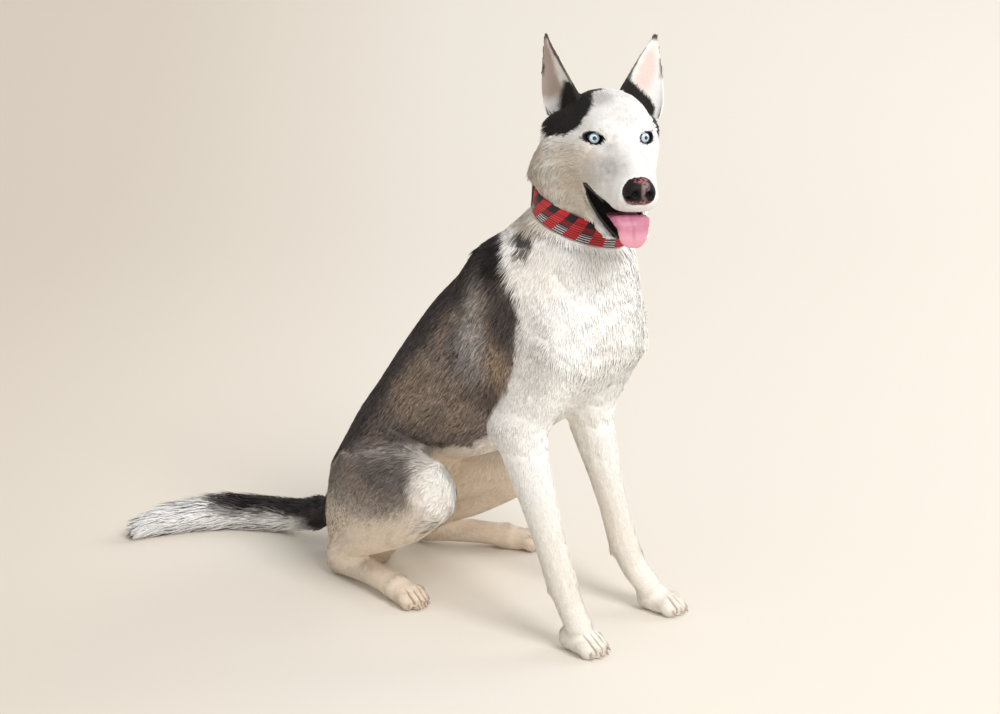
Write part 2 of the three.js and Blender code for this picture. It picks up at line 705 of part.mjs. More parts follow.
// Merges edges until the surface has few triangles, keeping its shape
function thin({ pos, tri }, target, shortest = 0) {
  const np = pos.length;
  const faces = tri.map((t) => t.slice());
  const alive = faces.map(() => true);
  const around = Array.from({ length: np }, () => new Set());
  faces.forEach((t, i) => t.forEach((q) => around[q].add(i)));
  const quadric = Array.from({ length: np }, () => new Float64Array(10));
  const planeOf = (t) => {
    const [a, b, c] = t.map((q) => pos[q]);
    const m = cross(sub(b, a), sub(c, a));
    return { n: unit(m), area: len(m) / 2 };
  };
  for (const t of faces) {
    const { n, area } = planeOf(t);
    const d = -dot(n, pos[t[0]]);
    const v = [n[0], n[1], n[2], d];
    let k = 0;
    const add4 = [];
    for (let i = 0; i < 4; i++) for (let j = i; j < 4; j++) add4[k++] = v[i] * v[j] * area;
    for (const q of t) for (let i = 0; i < 10; i++) quadric[q][i] += add4[i];
  }
  const cost = (Q, p) => {
    const [x, y, z] = p;
    return (
      Q[0] * x * x + 2 * Q[1] * x * y + 2 * Q[2] * x * z + 2 * Q[3] * x +
      Q[4] * y * y + 2 * Q[5] * y * z + 2 * Q[6] * y + Q[7] * z * z + 2 * Q[8] * z + Q[9]
    );
  };
  const best = (a, b) => {
    const Q = quadric[a].map((x, i) => x + quadric[b][i]);
    const mid = lerp3(pos[a], pos[b], 0.5);
    const list = [pos[a], pos[b], mid];
    const m = [Q[0], Q[1], Q[2], Q[1], Q[4], Q[5], Q[2], Q[5], Q[7]];
    const M = new THREE.Matrix3().set(...m);
    const scale = Math.abs(Q[0]) + Math.abs(Q[4]) + Math.abs(Q[7]);
    if (Math.abs(M.determinant()) > 1e-6 * scale ** 3) {
      const s = new THREE.Vector3(-Q[3], -Q[6], -Q[8]).applyMatrix3(M.invert());
      const p = [s.x, s.y, s.z];
      if (len(sub(p, mid)) < 1.2 * len(sub(pos[a], pos[b]))) list.push(p);
    }
    let pick = list[0];
    let low = Infinity;
    for (const p of list) {
      const c = cost(Q, p);
      if (c < low) {
        low = c;
        pick = p;
      }
    }
    const l = len(sub(pos[a], pos[b]));
    return { p: pick, c: Math.max(low, 0) + 1e-3 * l * l };
  };
  const heap = [];
  const push = (e) => {
    heap.push(e);
    let i = heap.length - 1;
    while (i > 0) {
      const up = (i - 1) >> 1;
      if (heap[up].c <= heap[i].c) break;
      [heap[up], heap[i]] = [heap[i], heap[up]];
      i = up;
    }
  };
  const pop = () => {
    const top = heap[0];
    const last = heap.pop();
    if (heap.length) {
      heap[0] = last;
      let i = 0;
      for (;;) {
        let m = i;
        for (const c of [2 * i + 1, 2 * i + 2])
          if (c < heap.length && heap[c].c < heap[m].c) m = c;
        if (m === i) break;
        [heap[m], heap[i]] = [heap[i], heap[m]];
        i = m;
      }
    }
    return top;
  };
  const stamp = new Int32Array(np);
  const neighbours = (a) => {
    const s = new Set();
    for (const f of around[a]) for (const q of faces[f]) if (q !== a) s.add(q);
    return s;
  };
  const offer = (a, b) => {
    const l = len(sub(pos[a], pos[b]));
    if (!target && l > shortest) return;
    const { p, c } = best(a, b);
    push({ a, b, p, c: target ? c : l, sa: stamp[a], sb: stamp[b] });
  };
  for (let a = 0; a < np; a++) for (const b of neighbours(a)) if (a < b) offer(a, b);
  let count = faces.length;
  while (heap.length && (!target || count > target)) {
    const e = pop();
    const { a, b, p } = e;
    if (stamp[a] !== e.sa || stamp[b] !== e.sb) continue;
    const na = neighbours(a);
    const nb = neighbours(b);
    let shared = 0;
    for (const q of na) if (nb.has(q)) shared++;
    if (shared !== 2 || na.size + nb.size > 16) continue;
    let ok = true;
    for (const [from, skip] of [[a, b], [b, a]]) {
      for (const f of around[from]) {
        const t = faces[f];
        if (t.includes(skip)) continue;
        const was = planeOf(t);
        const moved = t.map((q) => (q === from ? p : pos[q]));
        const m = cross(sub(moved[1], moved[0]), sub(moved[2], moved[0]));
        const long = Math.max(
          len(sub(moved[1], moved[0])),
          len(sub(moved[2], moved[1])),
          len(sub(moved[0], moved[2])),
        );
        const flat = target ? 0.1 : 0;
        if (len(m) < flat * long * long || (was.area > 1e-6 && dot(unit(m), was.n) < 0.35)) {
          ok = false;
          break;
        }
      }
      if (!ok) break;
    }
    if (!ok) continue;
    pos[a] = p;
    quadric[a] = quadric[a].map((x, i) => x + quadric[b][i]);
    for (const f of [...around[b]]) {
      const t = faces[f];
      if (t.includes(a)) {
        alive[f] = false;
        count--;
        for (const q of t) around[q].delete(f);
      } else {
        faces[f] = t.map((q) => (q === b ? a : q));
        around[a].add(f);
      }
    }
    around[b].clear();
    stamp[b] = -1;
    stamp[a]++;
    for (const q of neighbours(a)) offer(Math.min(a, q), Math.max(a, q));
  }
  const map = new Map();
  const outPos = [];
  const outTri = [];
  faces.forEach((t, i) => {
    if (!alive[i]) return;
    outTri.push(
      t.map((q) => {
        if (!map.has(q)) {
          map.set(q, outPos.length);
          outPos.push(pos[q]);
        }
        return map.get(q);
      }),
    );
  });
  return { pos: outPos, tri: outTri };
}

// Turns the long edge of each very flat triangle across to the next corner
function settle({ pos, tri }, least) {
  const n = pos.length;
  const height = ([a, b, c]) => {
    const [u, v, w] = [sub(pos[b], pos[a]), sub(pos[c], pos[b]), sub(pos[a], pos[c])];
    return len(cross(u, w)) / Math.max(len(u), len(v), len(w));
  };
  for (let round = 0; round < 8; round++) {
    const owner = new Map();
    tri.forEach((t, i) => t.forEach((q, j) => owner.set(q * n + t[(j + 1) % 3], i)));
    const done = new Set();
    tri.forEach((t, i) => {
      if (done.has(i) || height(t) > least) return;
      const long = [0, 1, 2].map((j) => len(sub(pos[t[j]], pos[t[(j + 1) % 3]])));
      const j = long.indexOf(Math.max(...long));
      const [a, b, c] = [t[j], t[(j + 1) % 3], t[(j + 2) % 3]];
      const o = owner.get(b * n + a);
      if (done.has(o)) return;
      const d = tri[o].find((q) => q !== a && q !== b);
      if (owner.has(c * n + d) || owner.has(d * n + c)) return;
      const [s, e] = [[c, a, d], [d, b, c]];
      if (Math.min(height(s), height(e)) <= Math.min(height(t), height(tri[o]))) return;
      tri[i] = s;
      tri[o] = e;
      done.add(i).add(o);
      for (const x of [c * n + d, d * n + c]) owner.set(x, i);
    });
    if (!done.size) break;
  }
  return { pos, tri };
}

const solidOf = ({ pos, tri }) =>
  new wasm.Manifold(
    new wasm.Mesh({
      numProp: 3,
      vertProperties: new Float32Array(pos.flat()),
      triVerts: new Uint32Array(tri.flat()),
    }),
  );

const meshOf = (solid) => {
  const m = solid.getMesh();
  const pos = [];
  const tri = [];
  for (let i = 0; i < m.numVert; i++) {
    pos.push([0, 1, 2].map((k) => m.vertProperties[i * m.numProp + k]));
  }
  for (let i = 0; i < m.numTri; i++) tri.push([0, 1, 2].map((k) => m.triVerts[i * 3 + k]));
  return { pos, tri };
};

const surface = (field, lo, hi, cell, target) => {
  const m = polygonise(field, lo, hi, cell);
  relax(m, field, lo, hi, cell, 3);
  return solidOf(target && m.tri.length > target ? thin(m, target) : m);
};

const largest = (solid) => {
  const list = solid.decompose();
  return list.reduce((a, b) => (b.volume() > a.volume() ? b : a));
};

// A convex region: a box cut by planes, each given by a point and its outward normal
function region(lo, hi, planes = [], grow = 0) {
  const g = new THREE.BoxGeometry(...[0, 1, 2].map((k) => hi[k] - lo[k] + 2 * grow));
  g.translate(...[0, 1, 2].map((k) => (lo[k] + hi[k]) / 2));
  let s = fromGeometry(g);
  for (const [p, n] of planes) {
    const u = unit(n);
    s = s.trimByPlane(mul(u, -1), -dot(u, p) - grow);
  }
  return s;
}

function fromGeometry(geometry) {
  const src = geometry.index ? geometry.toNonIndexed() : geometry;
  const a = src.getAttribute("position");
  const key = new Map();
  const pos = [];
  const tri = [];
  for (let i = 0; i < a.count; i += 3) {
    const t = [];
    for (let j = 0; j < 3; j++) {
      const p = [a.getX(i + j), a.getY(i + j), a.getZ(i + j)];
      const k = p.map((x) => Math.round(x * 1e4)).join();
      if (!key.has(k)) {
        key.set(k, pos.length);
        pos.push(p);
      }
      t.push(key.get(k));
    }
    if (t[0] !== t[1] && t[1] !== t[2] && t[0] !== t[2]) tri.push(t);
  }
  return solidOf({ pos, tri });
}

// A closed skin through rings of points, each ring in the same order
function rings(list) {
  const m = list[0].length;
  const pos = list.flat();
  const tri = [];
  for (let i = 0; i < list.length - 1; i++)
    for (let j = 0; j < m; j++) {
      const a = i * m + j;
      const b = i * m + ((j + 1) % m);
      tri.push([a, b, b + m], [a, b + m, a + m]);
    }
  const end = (ring, base, turn) => {
    const c = pos.length;
    pos.push(mul(ring.reduce(add), 1 / m));
    for (let j = 0; j < m; j++) {
      const t = [c, base + j, base + ((j + 1) % m)];
      tri.push(turn ? t : t.reverse());
    }
  };
  end(list[0], 0, false);
  end(list[list.length - 1], (list.length - 1) * m, true);
  const s = solidOf({ pos, tri });
  if (s.volume() > 0) return s;
  return solidOf({ pos, tri: tri.map((t) => t.slice().reverse()) });
}

// Nose leather in the head frame
const noseBlend = blend([
  [ellipsoid([86, 0, -53], [16, 18.5, 17]), 0],
  ...both((d) => [ellipsoid([92, 10 * d, -57], [11, 9.5, 12]), 6]),
  ...both((d) => [ellipsoid([104.5, 8.6 * d, -56], [7, 4.2, 4.6]), -3]),
  ...both((d) => [ellipsoid([99, 15.5 * d, -60.5], [7, 3.4, 1.6]), -2]),
  [ellipsoid([105, 0, -62], [6, 1.5, 14]), -2.5],
]);
const nose = (p) => noseBlend(bodyToHead(p));

// Eyes and the almond opening of the lids
const eyeFrame = (side) => {
  const t = rad(EYE_OUTWARD);
  const g = headDir([Math.cos(t), Math.sin(t) * side, 0.03]);
  const up = headDir([0, 0, 1]);
  const s = unit(cross(up, g));
  return { c: headToBody(flip(EYE_CENTRE, side)), g, s, u: cross(g, s) };
};
function sphere(c, r, detail) {
  const g = new THREE.IcosahedronGeometry(r, detail);
  g.translate(...c);
  return fromGeometry(g);
}
function lidOpening(side) {
  const { c, g, s, u } = eyeFrame(side);
  const tilt = rad(9) * side;
  const ring = (depth, w, h) =>
    Array.from({ length: 22 }, (_, i) => {
      const a = (i / 22) * 2 * Math.PI;
      const x = Math.cos(a) * (w / 2);
      const sharp = Math.sin(a) * Math.sqrt(Math.abs(Math.sin(a)) * 0.35 + 0.65);
      const y = sharp * (h / 2) * (1 - 0.12 * Math.cos(a) * side);
      const [rx, ry] = [x * Math.cos(tilt) - y * Math.sin(tilt), x * Math.sin(tilt) + y * Math.cos(tilt)];
      return add(c, add(mul(g, depth), add(mul(s, rx), mul(u, ry))));
    });
  return rings([
    ring(4, LID_WIDTH - 5, LID_HEIGHT - 4),
    ring(9.5, LID_WIDTH - 1, LID_HEIGHT - 1),
    ring(13, LID_WIDTH, LID_HEIGHT),
    ring(30, LID_WIDTH + 10, LID_HEIGHT + 9),
  ]);
}

// Ears: a cupped blade that follows a slightly bowed axis
const EAR_BLADE = [
  // height share, half-width, cup depth, half-angle
  [0, 34, 23, 112],
  [0.18, 33.5, 20, 100],
  [0.36, 29.5, 15, 88],
  [0.55, 24, 10.5, 74],
  [0.74, 17.5, 6.5, 62],
  [0.9, 9.8, 3.2, 52],
  [1, 3.6, 1.2, 42],
];
function ear(side) {
  const base = headToBody([-84, side > 0 ? 50 : -52, 22]);
  const tip = headToBody([-97, 74 * side, 123]);
  const axis = unit(sub(tip, base));
  const facing = side > 0 ? 6 : 64; // degrees the cup opens outward
  const want = headDir([Math.cos(rad(facing)), Math.sin(rad(facing)) * side, 0]);
  const o = unit(sub(want, mul(axis, dot(want, axis))));
  const s = unit(cross(axis, o));
  const list = [];
  const N = 13;
  const height = len(sub(tip, base));
  for (let k = 0; k <= 11; k++) {
    const t = k / 11;
    const [, w, depth, half] = spline(EAR_BLADE, t);
    const bow = 5 * Math.sin(Math.PI * t);
    const lean = (side > 0 ? 2.5 : 5) * Math.sin(Math.PI * t);
    const shift = add(mul(o, -bow), mul(headDir([0, side, 0]), lean));
    const c = add(base, add(mul(axis, height * t), shift));
    const thick = Math.min(EAR_THICKNESS * (1 - 0.55 * t), w * 0.7);
    const arc = (r) =>
      Array.from({ length: N }, (_, i) => {
        const a = rad(half) * ((2 * i) / (N - 1) - 1);
        const k2 = Math.sin(rad(Math.min(half, 90)));
        const x = (Math.sin(a) / k2) * (w - r * 0.6);
        const y = -(Math.cos(a) - Math.cos(rad(half))) * (depth / (1 - Math.cos(rad(half))));
        return add(c, add(mul(s, x), mul(o, y * (1 - (r / Math.max(depth, 3)) * 0.9))));
      });
    const outer = arc(0);
    const inner = arc(thick).reverse();
    list.push([...outer, ...inner]);
  }
  return rings(list);
}

// Tongue: a soft blade with a groove, over the lower lip and down
const TONGUE_PATH = [
  // x, centre y, z, half-width, thickness
  [-10, 0, -88, 18, 7],
  [12, 0, -93, 20, 7.5],
  [34, -1, -96, 22, 7.5],
  [54, -3, -93, 24, 7],
  [68, -5, -89, 26, 6.5],
  [76, -6, -90, 26, 6.2],
  [81, -5, -96, 23.5, 6],
  [84, -4, -104, 20, 5.6],
  [84, -4, -114, 18.5, 5.2],
  [82, -3, -122, 13.5, 4.6],
  [80.5, -2, -126, 7, 3.6],
];
function tongue() {
  const list = [];
  const steps = 16;
  for (let k = 0; k <= steps; k++) {
    const t = k / steps;
    const [x, yc, z, w, h] = spline(TONGUE_PATH, t);
    const q = spline(TONGUE_PATH, Math.min(1, t + 0.02));
    const o = spline(TONGUE_PATH, Math.max(0, t - 0.02));
    const d = unit([q[0] - o[0], 0, q[2] - o[2]]);
    const n = [-d[2], 0, d[0]];
    const ring = [];
    for (let i = 0; i < 14; i++) {
      const a = (i / 14) * 2 * Math.PI;
      const y = Math.cos(a) * w;
      const edge = (Math.abs(Math.cos(a)) ** 2) * 4 * Math.sin(Math.PI * clamp(t * 1.1, 0, 1));
      const groove = Math.sin(a) > 0 ? 1 - 0.42 * Math.exp(-((y / 5) ** 2)) : 1;
      const up = Math.sin(a) * (h / 2) * groove + edge * (t > 0.35 ? -0.4 : 1);
      ring.push(headToBody([x + n[0] * up, yc + y, z + n[2] * up]));
    }
    list.push(ring);
  }
  return rings(list);
}

// Collar: a band that presses into the coat of the neck
const neckOnly = blend(bodyForms.slice(0, 3));
function collarBand(inset, grow, reach = 0) {
  const tilt = rad(COLLAR_TILT);
  const up = [Math.sin(tilt), 0, Math.cos(tilt)];
  const fwd = [Math.cos(tilt), 0, -Math.sin(tilt)];
  const list = [];
  for (let i = 0; i < COLLAR_SIDES; i++) {
    const a = (i / COLLAR_SIDES) * 2 * Math.PI;
    const dir = add(mul(fwd, Math.cos(a)), [0, Math.sin(a), 0]);
    const radius = (h) => {
      let r = 40;
      for (let k = 0; k < 40; k++) {
        const p = add(COLLAR_CENTRE, add(mul(up, h), mul(dir, r)));
        const d = neckOnly(p);
        if (Math.abs(d) < 0.01) break;
        r -= d * 0.8;
      }
      return r;
    };
    const half = COLLAR_WIDTH / 2;
    const [lo, hi] = [radius(-half) - inset, radius(half) - inset];
    const at = (h, extra) => {
      const r = mix(lo, hi, (h + half) / COLLAR_WIDTH) + extra;
      return add(COLLAR_CENTRE, add(mul(up, h), mul(dir, r)));
    };
    const t = COLLAR_THICKNESS + reach;
    list.push([
      at(-half - grow, -grow),
      at(-half - grow, t - 1 + grow),
      at(-half + 1.2, t + grow),
      at(half - 1.2, t + grow),
      at(half + grow, t - 1 + grow),
      at(half + grow, -grow),
    ]);
  }
  return hoop(list);
}

// A closed ring through sections that meet end to end
function hoop(list) {
  const m = list[0].length;
  const n = list.length;
  const tri = [];
  for (let i = 0; i < n; i++)
    for (let j = 0; j < m; j++) {
      const a = i * m + j;
      const b = i * m + ((j + 1) % m);
      const c = ((i + 1) % n) * m + ((j + 1) % m);
      const d = ((i + 1) % n) * m + j;
      tri.push([a, b, c], [a, c, d]);
    }
  const s = solidOf({ pos: list.flat(), tri });
  return s.volume() > 0 ? s : solidOf({ pos: list.flat(), tri: tri.map((t) => t.slice().reverse()) });
}

// A curved claw from its root inside the toe to its blunt tip
function claw({ from, to }, grow = 0) {
  const d = unit(sub(to, from));
  const side = unit(cross([0, 0, 1], d));
  const up = cross(d, side);
  const length = len(sub(to, from));
  const list = [];
  const rows = [
    [-7 - grow, 2.6, 3.4],
    [0, 2.5, 3.3],
    [length * 0.55, 1.9, 2.4],
    [length + grow, 0.7, 0.8],
  ];
  for (const [x, w, h] of rows) {
    const arch = 1.6 * Math.sin(Math.PI * clamp(x / length, 0, 1));
    const c = add(from, add(mul(d, x), mul(up, arch)));
    list.push(
      Array.from({ length: 5 }, (_, i) => {
        const a = ((i + 0.25) / 5) * 2 * Math.PI;
        return add(c, add(mul(side, Math.cos(a) * (w + grow)), mul(up, Math.sin(a) * (h + grow))));
      }),
    );
  }
  return rings(list);
}

// Locks of the brush: flat tapered blades that leave the core and follow the tail
const tailAt = (rows, t) => {
  const u = clamp(t, 0, 1);
  const row = spline(rows, u);
  const q = spline(rows, Math.min(1, u + 0.02));
  const o = spline(rows, Math.max(0, u - 0.02));
  const d = unit([q[0] - o[0], q[1] - o[1], 0]);
  const c = add(row.slice(0, 3), mul(d, (t - u) * TAIL_LENGTH));
  return { c, w: row[3], h: row[4], d, side: [-d[1], d[0], 0] };
};
function lock(start, angle, reach, width, lift) {
  const path = (q) => {
    const t = start + reach * q;
    const a = angle + 0.16 * Math.sin(q * 2.6 + angle * 3);
    const on = (rows, scale) => {
      const { c, w, h, side } = tailAt(rows, t);
      return add(c, add(mul(side, Math.cos(a) * w * scale), [0, 0, Math.sin(a) * h * scale]));
    };
    const e = lift * Math.sin(clamp(q, 0, 1) * 1.35) ** 0.85;
    return lerp3(on(tailCore, q < 0 ? 0.55 : 0.9), on(TAIL, 0.96), q < 0 ? 0 : e);
  };
  const rows = [
    // share of the length, half-width, half-thickness
    [-0.1, 0.72, 2.2],
    [0.12, 0.95, 2.6],
    [0.5, 1, 2.2],
    [1, 0.1, 0.3],
  ];
  const list = rows.map(([q, w, h]) => {
    const c = path(q);
    const along = unit(sub(path(q + 0.04), path(q - 0.04)));
    const { c: mid } = tailAt(tailCore, start + reach * q);
    const across = unit(cross(along, sub(c, mid)));
    const out = cross(across, along);
    const flat = (dx, dy) => {
      const p = add(c, add(mul(across, dx * w * width), mul(out, dy * h)));
      return [p[0], p[1], Math.max(p[2], 0.6)];
    };
    return [flat(1, 0), flat(0, 1), flat(-1, 0), flat(0, -0.8)];
  });
  return rings(list);
}
function brush() {
  let all = null;
  TAIL_ROWS.forEach(([start, count, reach, width, lift], r) => {
    for (let j = 0; j < count; j++) {
      const angle = ((j + 0.5 * (r % 2) + 0.25) / count) * 2 * Math.PI;
      const uneven = Math.sin(r * 5.3 + j * 2.7);
      const one = lock(
        start + 0.014 * uneven,
        angle,
        reach * (1 + 0.12 * Math.cos(r * 3.1 + j * 4.1)),
        width,
        lift * (1 + 0.06 * Math.sin(r * 2.3 + j * 5.9)),
      );
      all = all ? all.add(one) : one;
    }
  });
  return all;
}

// Nodes: each is the body inside one convex region, cut clear of its neighbours
const limb = (side) => {
  const d = side === "right" ? -1 : 1;
  const f = FORE[side];
  const h = HIND[side];
  const out = (a, b) => (d < 0 ? [-b, -a] : [a, b]);
  const wrist = f.forearm[5].slice(0, 3);
  const dirUp = sub(f.forearm[4].slice(0, 3), f.forearm[6].slice(0, 3));
  const px = f.paw[0];
  const ex = f.forearm[1][0];
  const box = (x0, x1, ya, yb, z0, z1) => {
    const [y0, y1] = out(ya, yb);
    return [[x0, y0, z0], [x1, y1, z1]];
  };
  const wristCut = [wrist, dirUp];
  const elbowCut = [[ex, 0, 262], [-0.3, 0, 0.95]];
  const kneeCut = [[-300, 0, 122], [-0.25, 0, 0.97]];
  const hockCut = [[-440, 0, 47], [-0.05, 0, 1]];
  const down = ([p, n]) => [p, mul(n, -1)];
  return [
    ["forepaw_" + side, box(px - 62, px + 70, 40, 150, -8, 90), [wristCut], 3, 560],
    ["forearm_" + side, box(-190, 10, 40, 150, 10, 330), [down(wristCut), elbowCut], 6, 420],
    [
      "upper_arm_" + side,
      box(-176, -4, 62, 150, 230, 440),
      [down(elbowCut), [[-60, 0, 418], [0.3, 0, 1]]],
      8,
      360,
    ],
    ["hind_foot_" + side, box(-480, -235, 50, 250, -8, 60), [hockCut], 3.2, 640],
    ["lower_leg_" + side, box(-480, -180, 50, 250, 10, 170), [down(hockCut), kneeCut], 6, 460],
    [
      "thigh_" + side,
      box(-446, -192, 54, 250, 40, 262),
      [
        down(kneeCut),
        [[-398, 0, 200], [-0.25, 0, 0.97]],
        [[-230, 84 * d, 226], [0, -0.6 * d, 0.8]],
      ],
      8,
      460,
    ],
  ];
};
const inHead = (p) => headToBody(p);
const jawPlanes = [
  [inHead([5, 0, -61]), headDir([0.423, 0, 0.906])],
  [inHead([5, 0, -61]), headDir([-0.894, 0, 0.447])],
  [inHead([-20, 0, -124]), headDir([0.08, 0, -1])],
];
const headPlane = [inHead([-60, 0, -80]), headDir([-0.35, 0, -1])];
const neckLow = [[-95, 0, 484], [-0.2, 0, -1]];
const away = ([p, n]) => [p, mul(n, -1)];
const collarUp = [Math.sin(rad(COLLAR_TILT)), 0, Math.cos(rad(COLLAR_TILT))];
const aboveCollar = [add(COLLAR_CENTRE, mul(collarUp, COLLAR_WIDTH / 2 + 1.5)), mul(collarUp, -1)];
jawPlanes.push(aboveCollar);
const headBox = [[-190, -150, 470], [120, 130, 760]];
const cuts = [
  ["lower_jaw", headBox, jawPlanes, 2.6, 1500, [[-40, -105, 536], [66, 30, 622]]],
  [
    "muzzle",
    headBox,
    [[inHead([24, 0, 0]), headDir([-1, 0, -0.12])], away(jawPlanes[0])],
    2.8,
    1150,
    [[-10, -110, 560], [110, 60, 700]],
  ],
  ["head", headBox, [headPlane], 3.6, 2000, null],
  ["neck", [[-200, -130, 420], [60, 130, 720]], [away(headPlane), neckLow], 8, 500, null],
  ...limb("right"),
  ...limb("left"),
  ["tail", [[-880, -230, -8], [-500, 90, 130]], [[[-530, 0, 60], [1, 0, 0.25]]], 5, 420, null],
];
const TRUNK_BOX = [[-545, -140, -8], [20, 140, 560]];

const solids = new Map();
const regions = [];
for (const [name, [lo, hi], planes, cell, target, tight] of cuts) {
  const inner = region(lo, hi, planes, -GAP / 2);
  const [mlo, mhi] = tight ?? [lo, hi];
  const pad = cell * 1.5;
  let s = surface(
    body,
    mlo.map((x) => x - pad),
    mhi.map((x) => x + pad),
    cell,
    target,
  ).intersect(inner);
  for (const r of regions) s = s.subtract(r);
  solids.set(name, largest(s.trimByPlane([0, 0, 1], 0)));
  regions.push(region(lo, hi, planes, GAP / 2));
}
let torso = surface(body, TRUNK_BOX[0], TRUNK_BOX[1], 11, 1700);
for (const r of regions) torso = torso.subtract(r);
solids.set("torso", largest(torso.trimByPlane([0, 0, 1], 0)));

const [tailLo, tailHi] = [cuts.at(-1)[1][0], cuts.at(-1)[1][1]];
const brushRegion = region(tailLo, tailHi, cuts.at(-1)[2], -GAP / 2);
solids.set("tail", largest(solids.get("tail").add(brush()).intersect(brushRegion)));

const cut = (name, tool) => solids.set(name, largest(solids.get(name).subtract(tool)));

const noseGrown = surface(
  (p) => nose(p) - GAP,
  ...noseBox(),
  1.8,
  700,
);
function noseBox() {
  const c = headToBody([88, 0, -55]);
  return [c.map((x) => x - 30), c.map((x) => x + 30)];
}
solids.set("nose", largest(surface(nose, ...noseBox(), 1.5, 540)));
cut("muzzle", noseGrown);

for (const [side, d] of [["right", -1], ["left", 1]]) {
  const { c } = eyeFrame(d);
  solids.set("eye_" + side, sphere(c, EYE_RADIUS, 3));
  cut("head", sphere(c, EYE_RADIUS + GAP * 1.6, 3).add(lidOpening(d)));
}

const headGrown = surface((p) => body(p) - GAP * 2, [-190, -150, 600], [60, 120, 740], 3.6, 2600);
for (const [side, d] of [["right", -1], ["left", 1]])
  solids.set("ear_" + side, largest(ear(d).subtract(headGrown)));

const mouthBox = [[-70, -110, 510], [110, 60, 690]];
const mouthGrown = surface((p) => body(p) - GAP * 1.6, ...mouthBox, 3, 3000);
solids.set("tongue", largest(tongue().subtract(mouthGrown)));

solids.set("collar", collarBand(3, 0));
cut("neck", collarBand(3, GAP, 20));

for (const [foot, { claws }] of Object.entries(feet)) {
  const [kind, side] = foot.split("_");
  const host = (kind === "fore" ? "forepaw_" : "hind_foot_") + side;
  claws.forEach((q, i) => {
    solids.set(`claw_${kind}_${side}_${i + 1}`, claw(q));
    cut(host, claw(q, GAP));
  });
}

// Colours and finishes
const COAT_WHITE = [0xe9e5df, 0.85];
const COAT_GREY = [0x55504b, 0.85];
const finish = (name) => {
  if (name.startsWith("claw")) return [0xcdb8ab, 0.5];
  if (name.startsWith("eye")) return [0xa9cfe4, 0.1];
  if (name.startsWith("ear")) return [0x8d8780, 0.8];
  if (name === "nose") return [0x1d1819, 0.45];
  if (name === "tongue") return [0xd98fa5, 0.4];
  if (name === "collar") return [0xc0262b, 0.8];
  if (["torso", "tail"].includes(name) || name.startsWith("thigh")) return COAT_GREY;
  return COAT_WHITE;
};

const group = new THREE.Group();
const bounds = new THREE.Box3();
for (const [name, solid] of solids) {
  const { pos, tri } = settle(thin(meshOf(solid), 0, 0.2), 0.1);
  for (const p of pos) if (p[2] < 0.08) p[2] = 0;
  const g = new THREE.BufferGeometry();
  g.setAttribute("position", new THREE.Float32BufferAttribute(pos.flat(), 3));
  g.setIndex(tri.flat());
  const [color, roughness] = finish(name);
  const mesh = new THREE.Mesh(
    g,
    new THREE.MeshStandardMaterial({ color, roughness, metalness: 0, flatShading: true }),
  );
  mesh.name = name;
  group.add(mesh);
  for (const p of pos) bounds.expandByPoint(new THREE.Vector3(...p));
}
group.position.set(
  -(bounds.min.x + bounds.max.x) / 2,
  -(bounds.min.y + bounds.max.y) / 2,
  -bounds.min.z,
);
export default group;
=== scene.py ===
import math

import bmesh
import bpy
import numpy as np
from mathutils import Matrix, Vector
from mathutils.bvhtree import BVHTree


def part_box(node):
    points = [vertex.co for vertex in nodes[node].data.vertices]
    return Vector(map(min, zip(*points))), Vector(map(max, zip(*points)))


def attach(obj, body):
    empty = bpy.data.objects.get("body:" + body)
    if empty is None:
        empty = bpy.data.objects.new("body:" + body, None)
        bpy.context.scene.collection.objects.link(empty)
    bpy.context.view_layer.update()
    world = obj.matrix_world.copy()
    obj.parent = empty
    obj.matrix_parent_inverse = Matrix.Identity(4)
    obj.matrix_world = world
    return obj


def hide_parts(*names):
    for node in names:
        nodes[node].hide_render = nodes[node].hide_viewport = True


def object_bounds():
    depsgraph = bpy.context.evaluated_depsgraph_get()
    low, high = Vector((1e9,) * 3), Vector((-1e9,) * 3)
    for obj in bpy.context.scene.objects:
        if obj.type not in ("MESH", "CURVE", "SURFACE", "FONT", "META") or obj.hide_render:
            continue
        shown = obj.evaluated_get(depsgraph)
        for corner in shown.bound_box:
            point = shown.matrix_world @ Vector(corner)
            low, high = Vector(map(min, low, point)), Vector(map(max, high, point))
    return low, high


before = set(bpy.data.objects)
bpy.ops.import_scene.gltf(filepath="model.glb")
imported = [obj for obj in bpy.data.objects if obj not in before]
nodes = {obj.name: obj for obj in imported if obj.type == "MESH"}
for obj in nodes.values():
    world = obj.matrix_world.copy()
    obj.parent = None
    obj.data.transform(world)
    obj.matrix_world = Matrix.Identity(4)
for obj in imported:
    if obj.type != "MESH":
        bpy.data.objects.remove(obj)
cad_lo, cad_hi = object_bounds()

# Frames of the body and the head, in mm, x ahead, y to the dog's left, z up
HEAD_ORIGIN = np.array([-9.3, -12.9, 669.9])
HEAD_TURN = [-38.84, -2.9, -1.98]
EYE_CENTRE = np.array([-10.4, 31.0, 0.0])
EYE_RADIUS = 11.5
LID_WIDTH, LID_HEIGHT = 24.0, 14.5
LID_TILT = math.radians(9)


def turn(axis, degrees):
    return np.array(Matrix.Rotation(math.radians(degrees), 3, axis))


HEAD_AXES = turn("Z", HEAD_TURN[0]) @ turn("Y", HEAD_TURN[1]) @ turn("X", HEAD_TURN[2])


def head_to_body(h):
    return np.asarray(h, float) @ HEAD_AXES.T + HEAD_ORIGIN


def body_to_head(b):
    return (np.asarray(b, float) - HEAD_ORIGIN) @ HEAD_AXES


def middle(node):
    lo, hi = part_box(node)
    return np.array((lo + hi) / 2) * 1000


SIDES = ((-1, "right"), (1, "left"))
SHIFT = sum(middle("eye_" + word) - head_to_body(EYE_CENTRE * [1, side, 1]) for side, word in SIDES) / 2


def to_body(p):
    return np.asarray(p, float) * 1000 - SHIFT


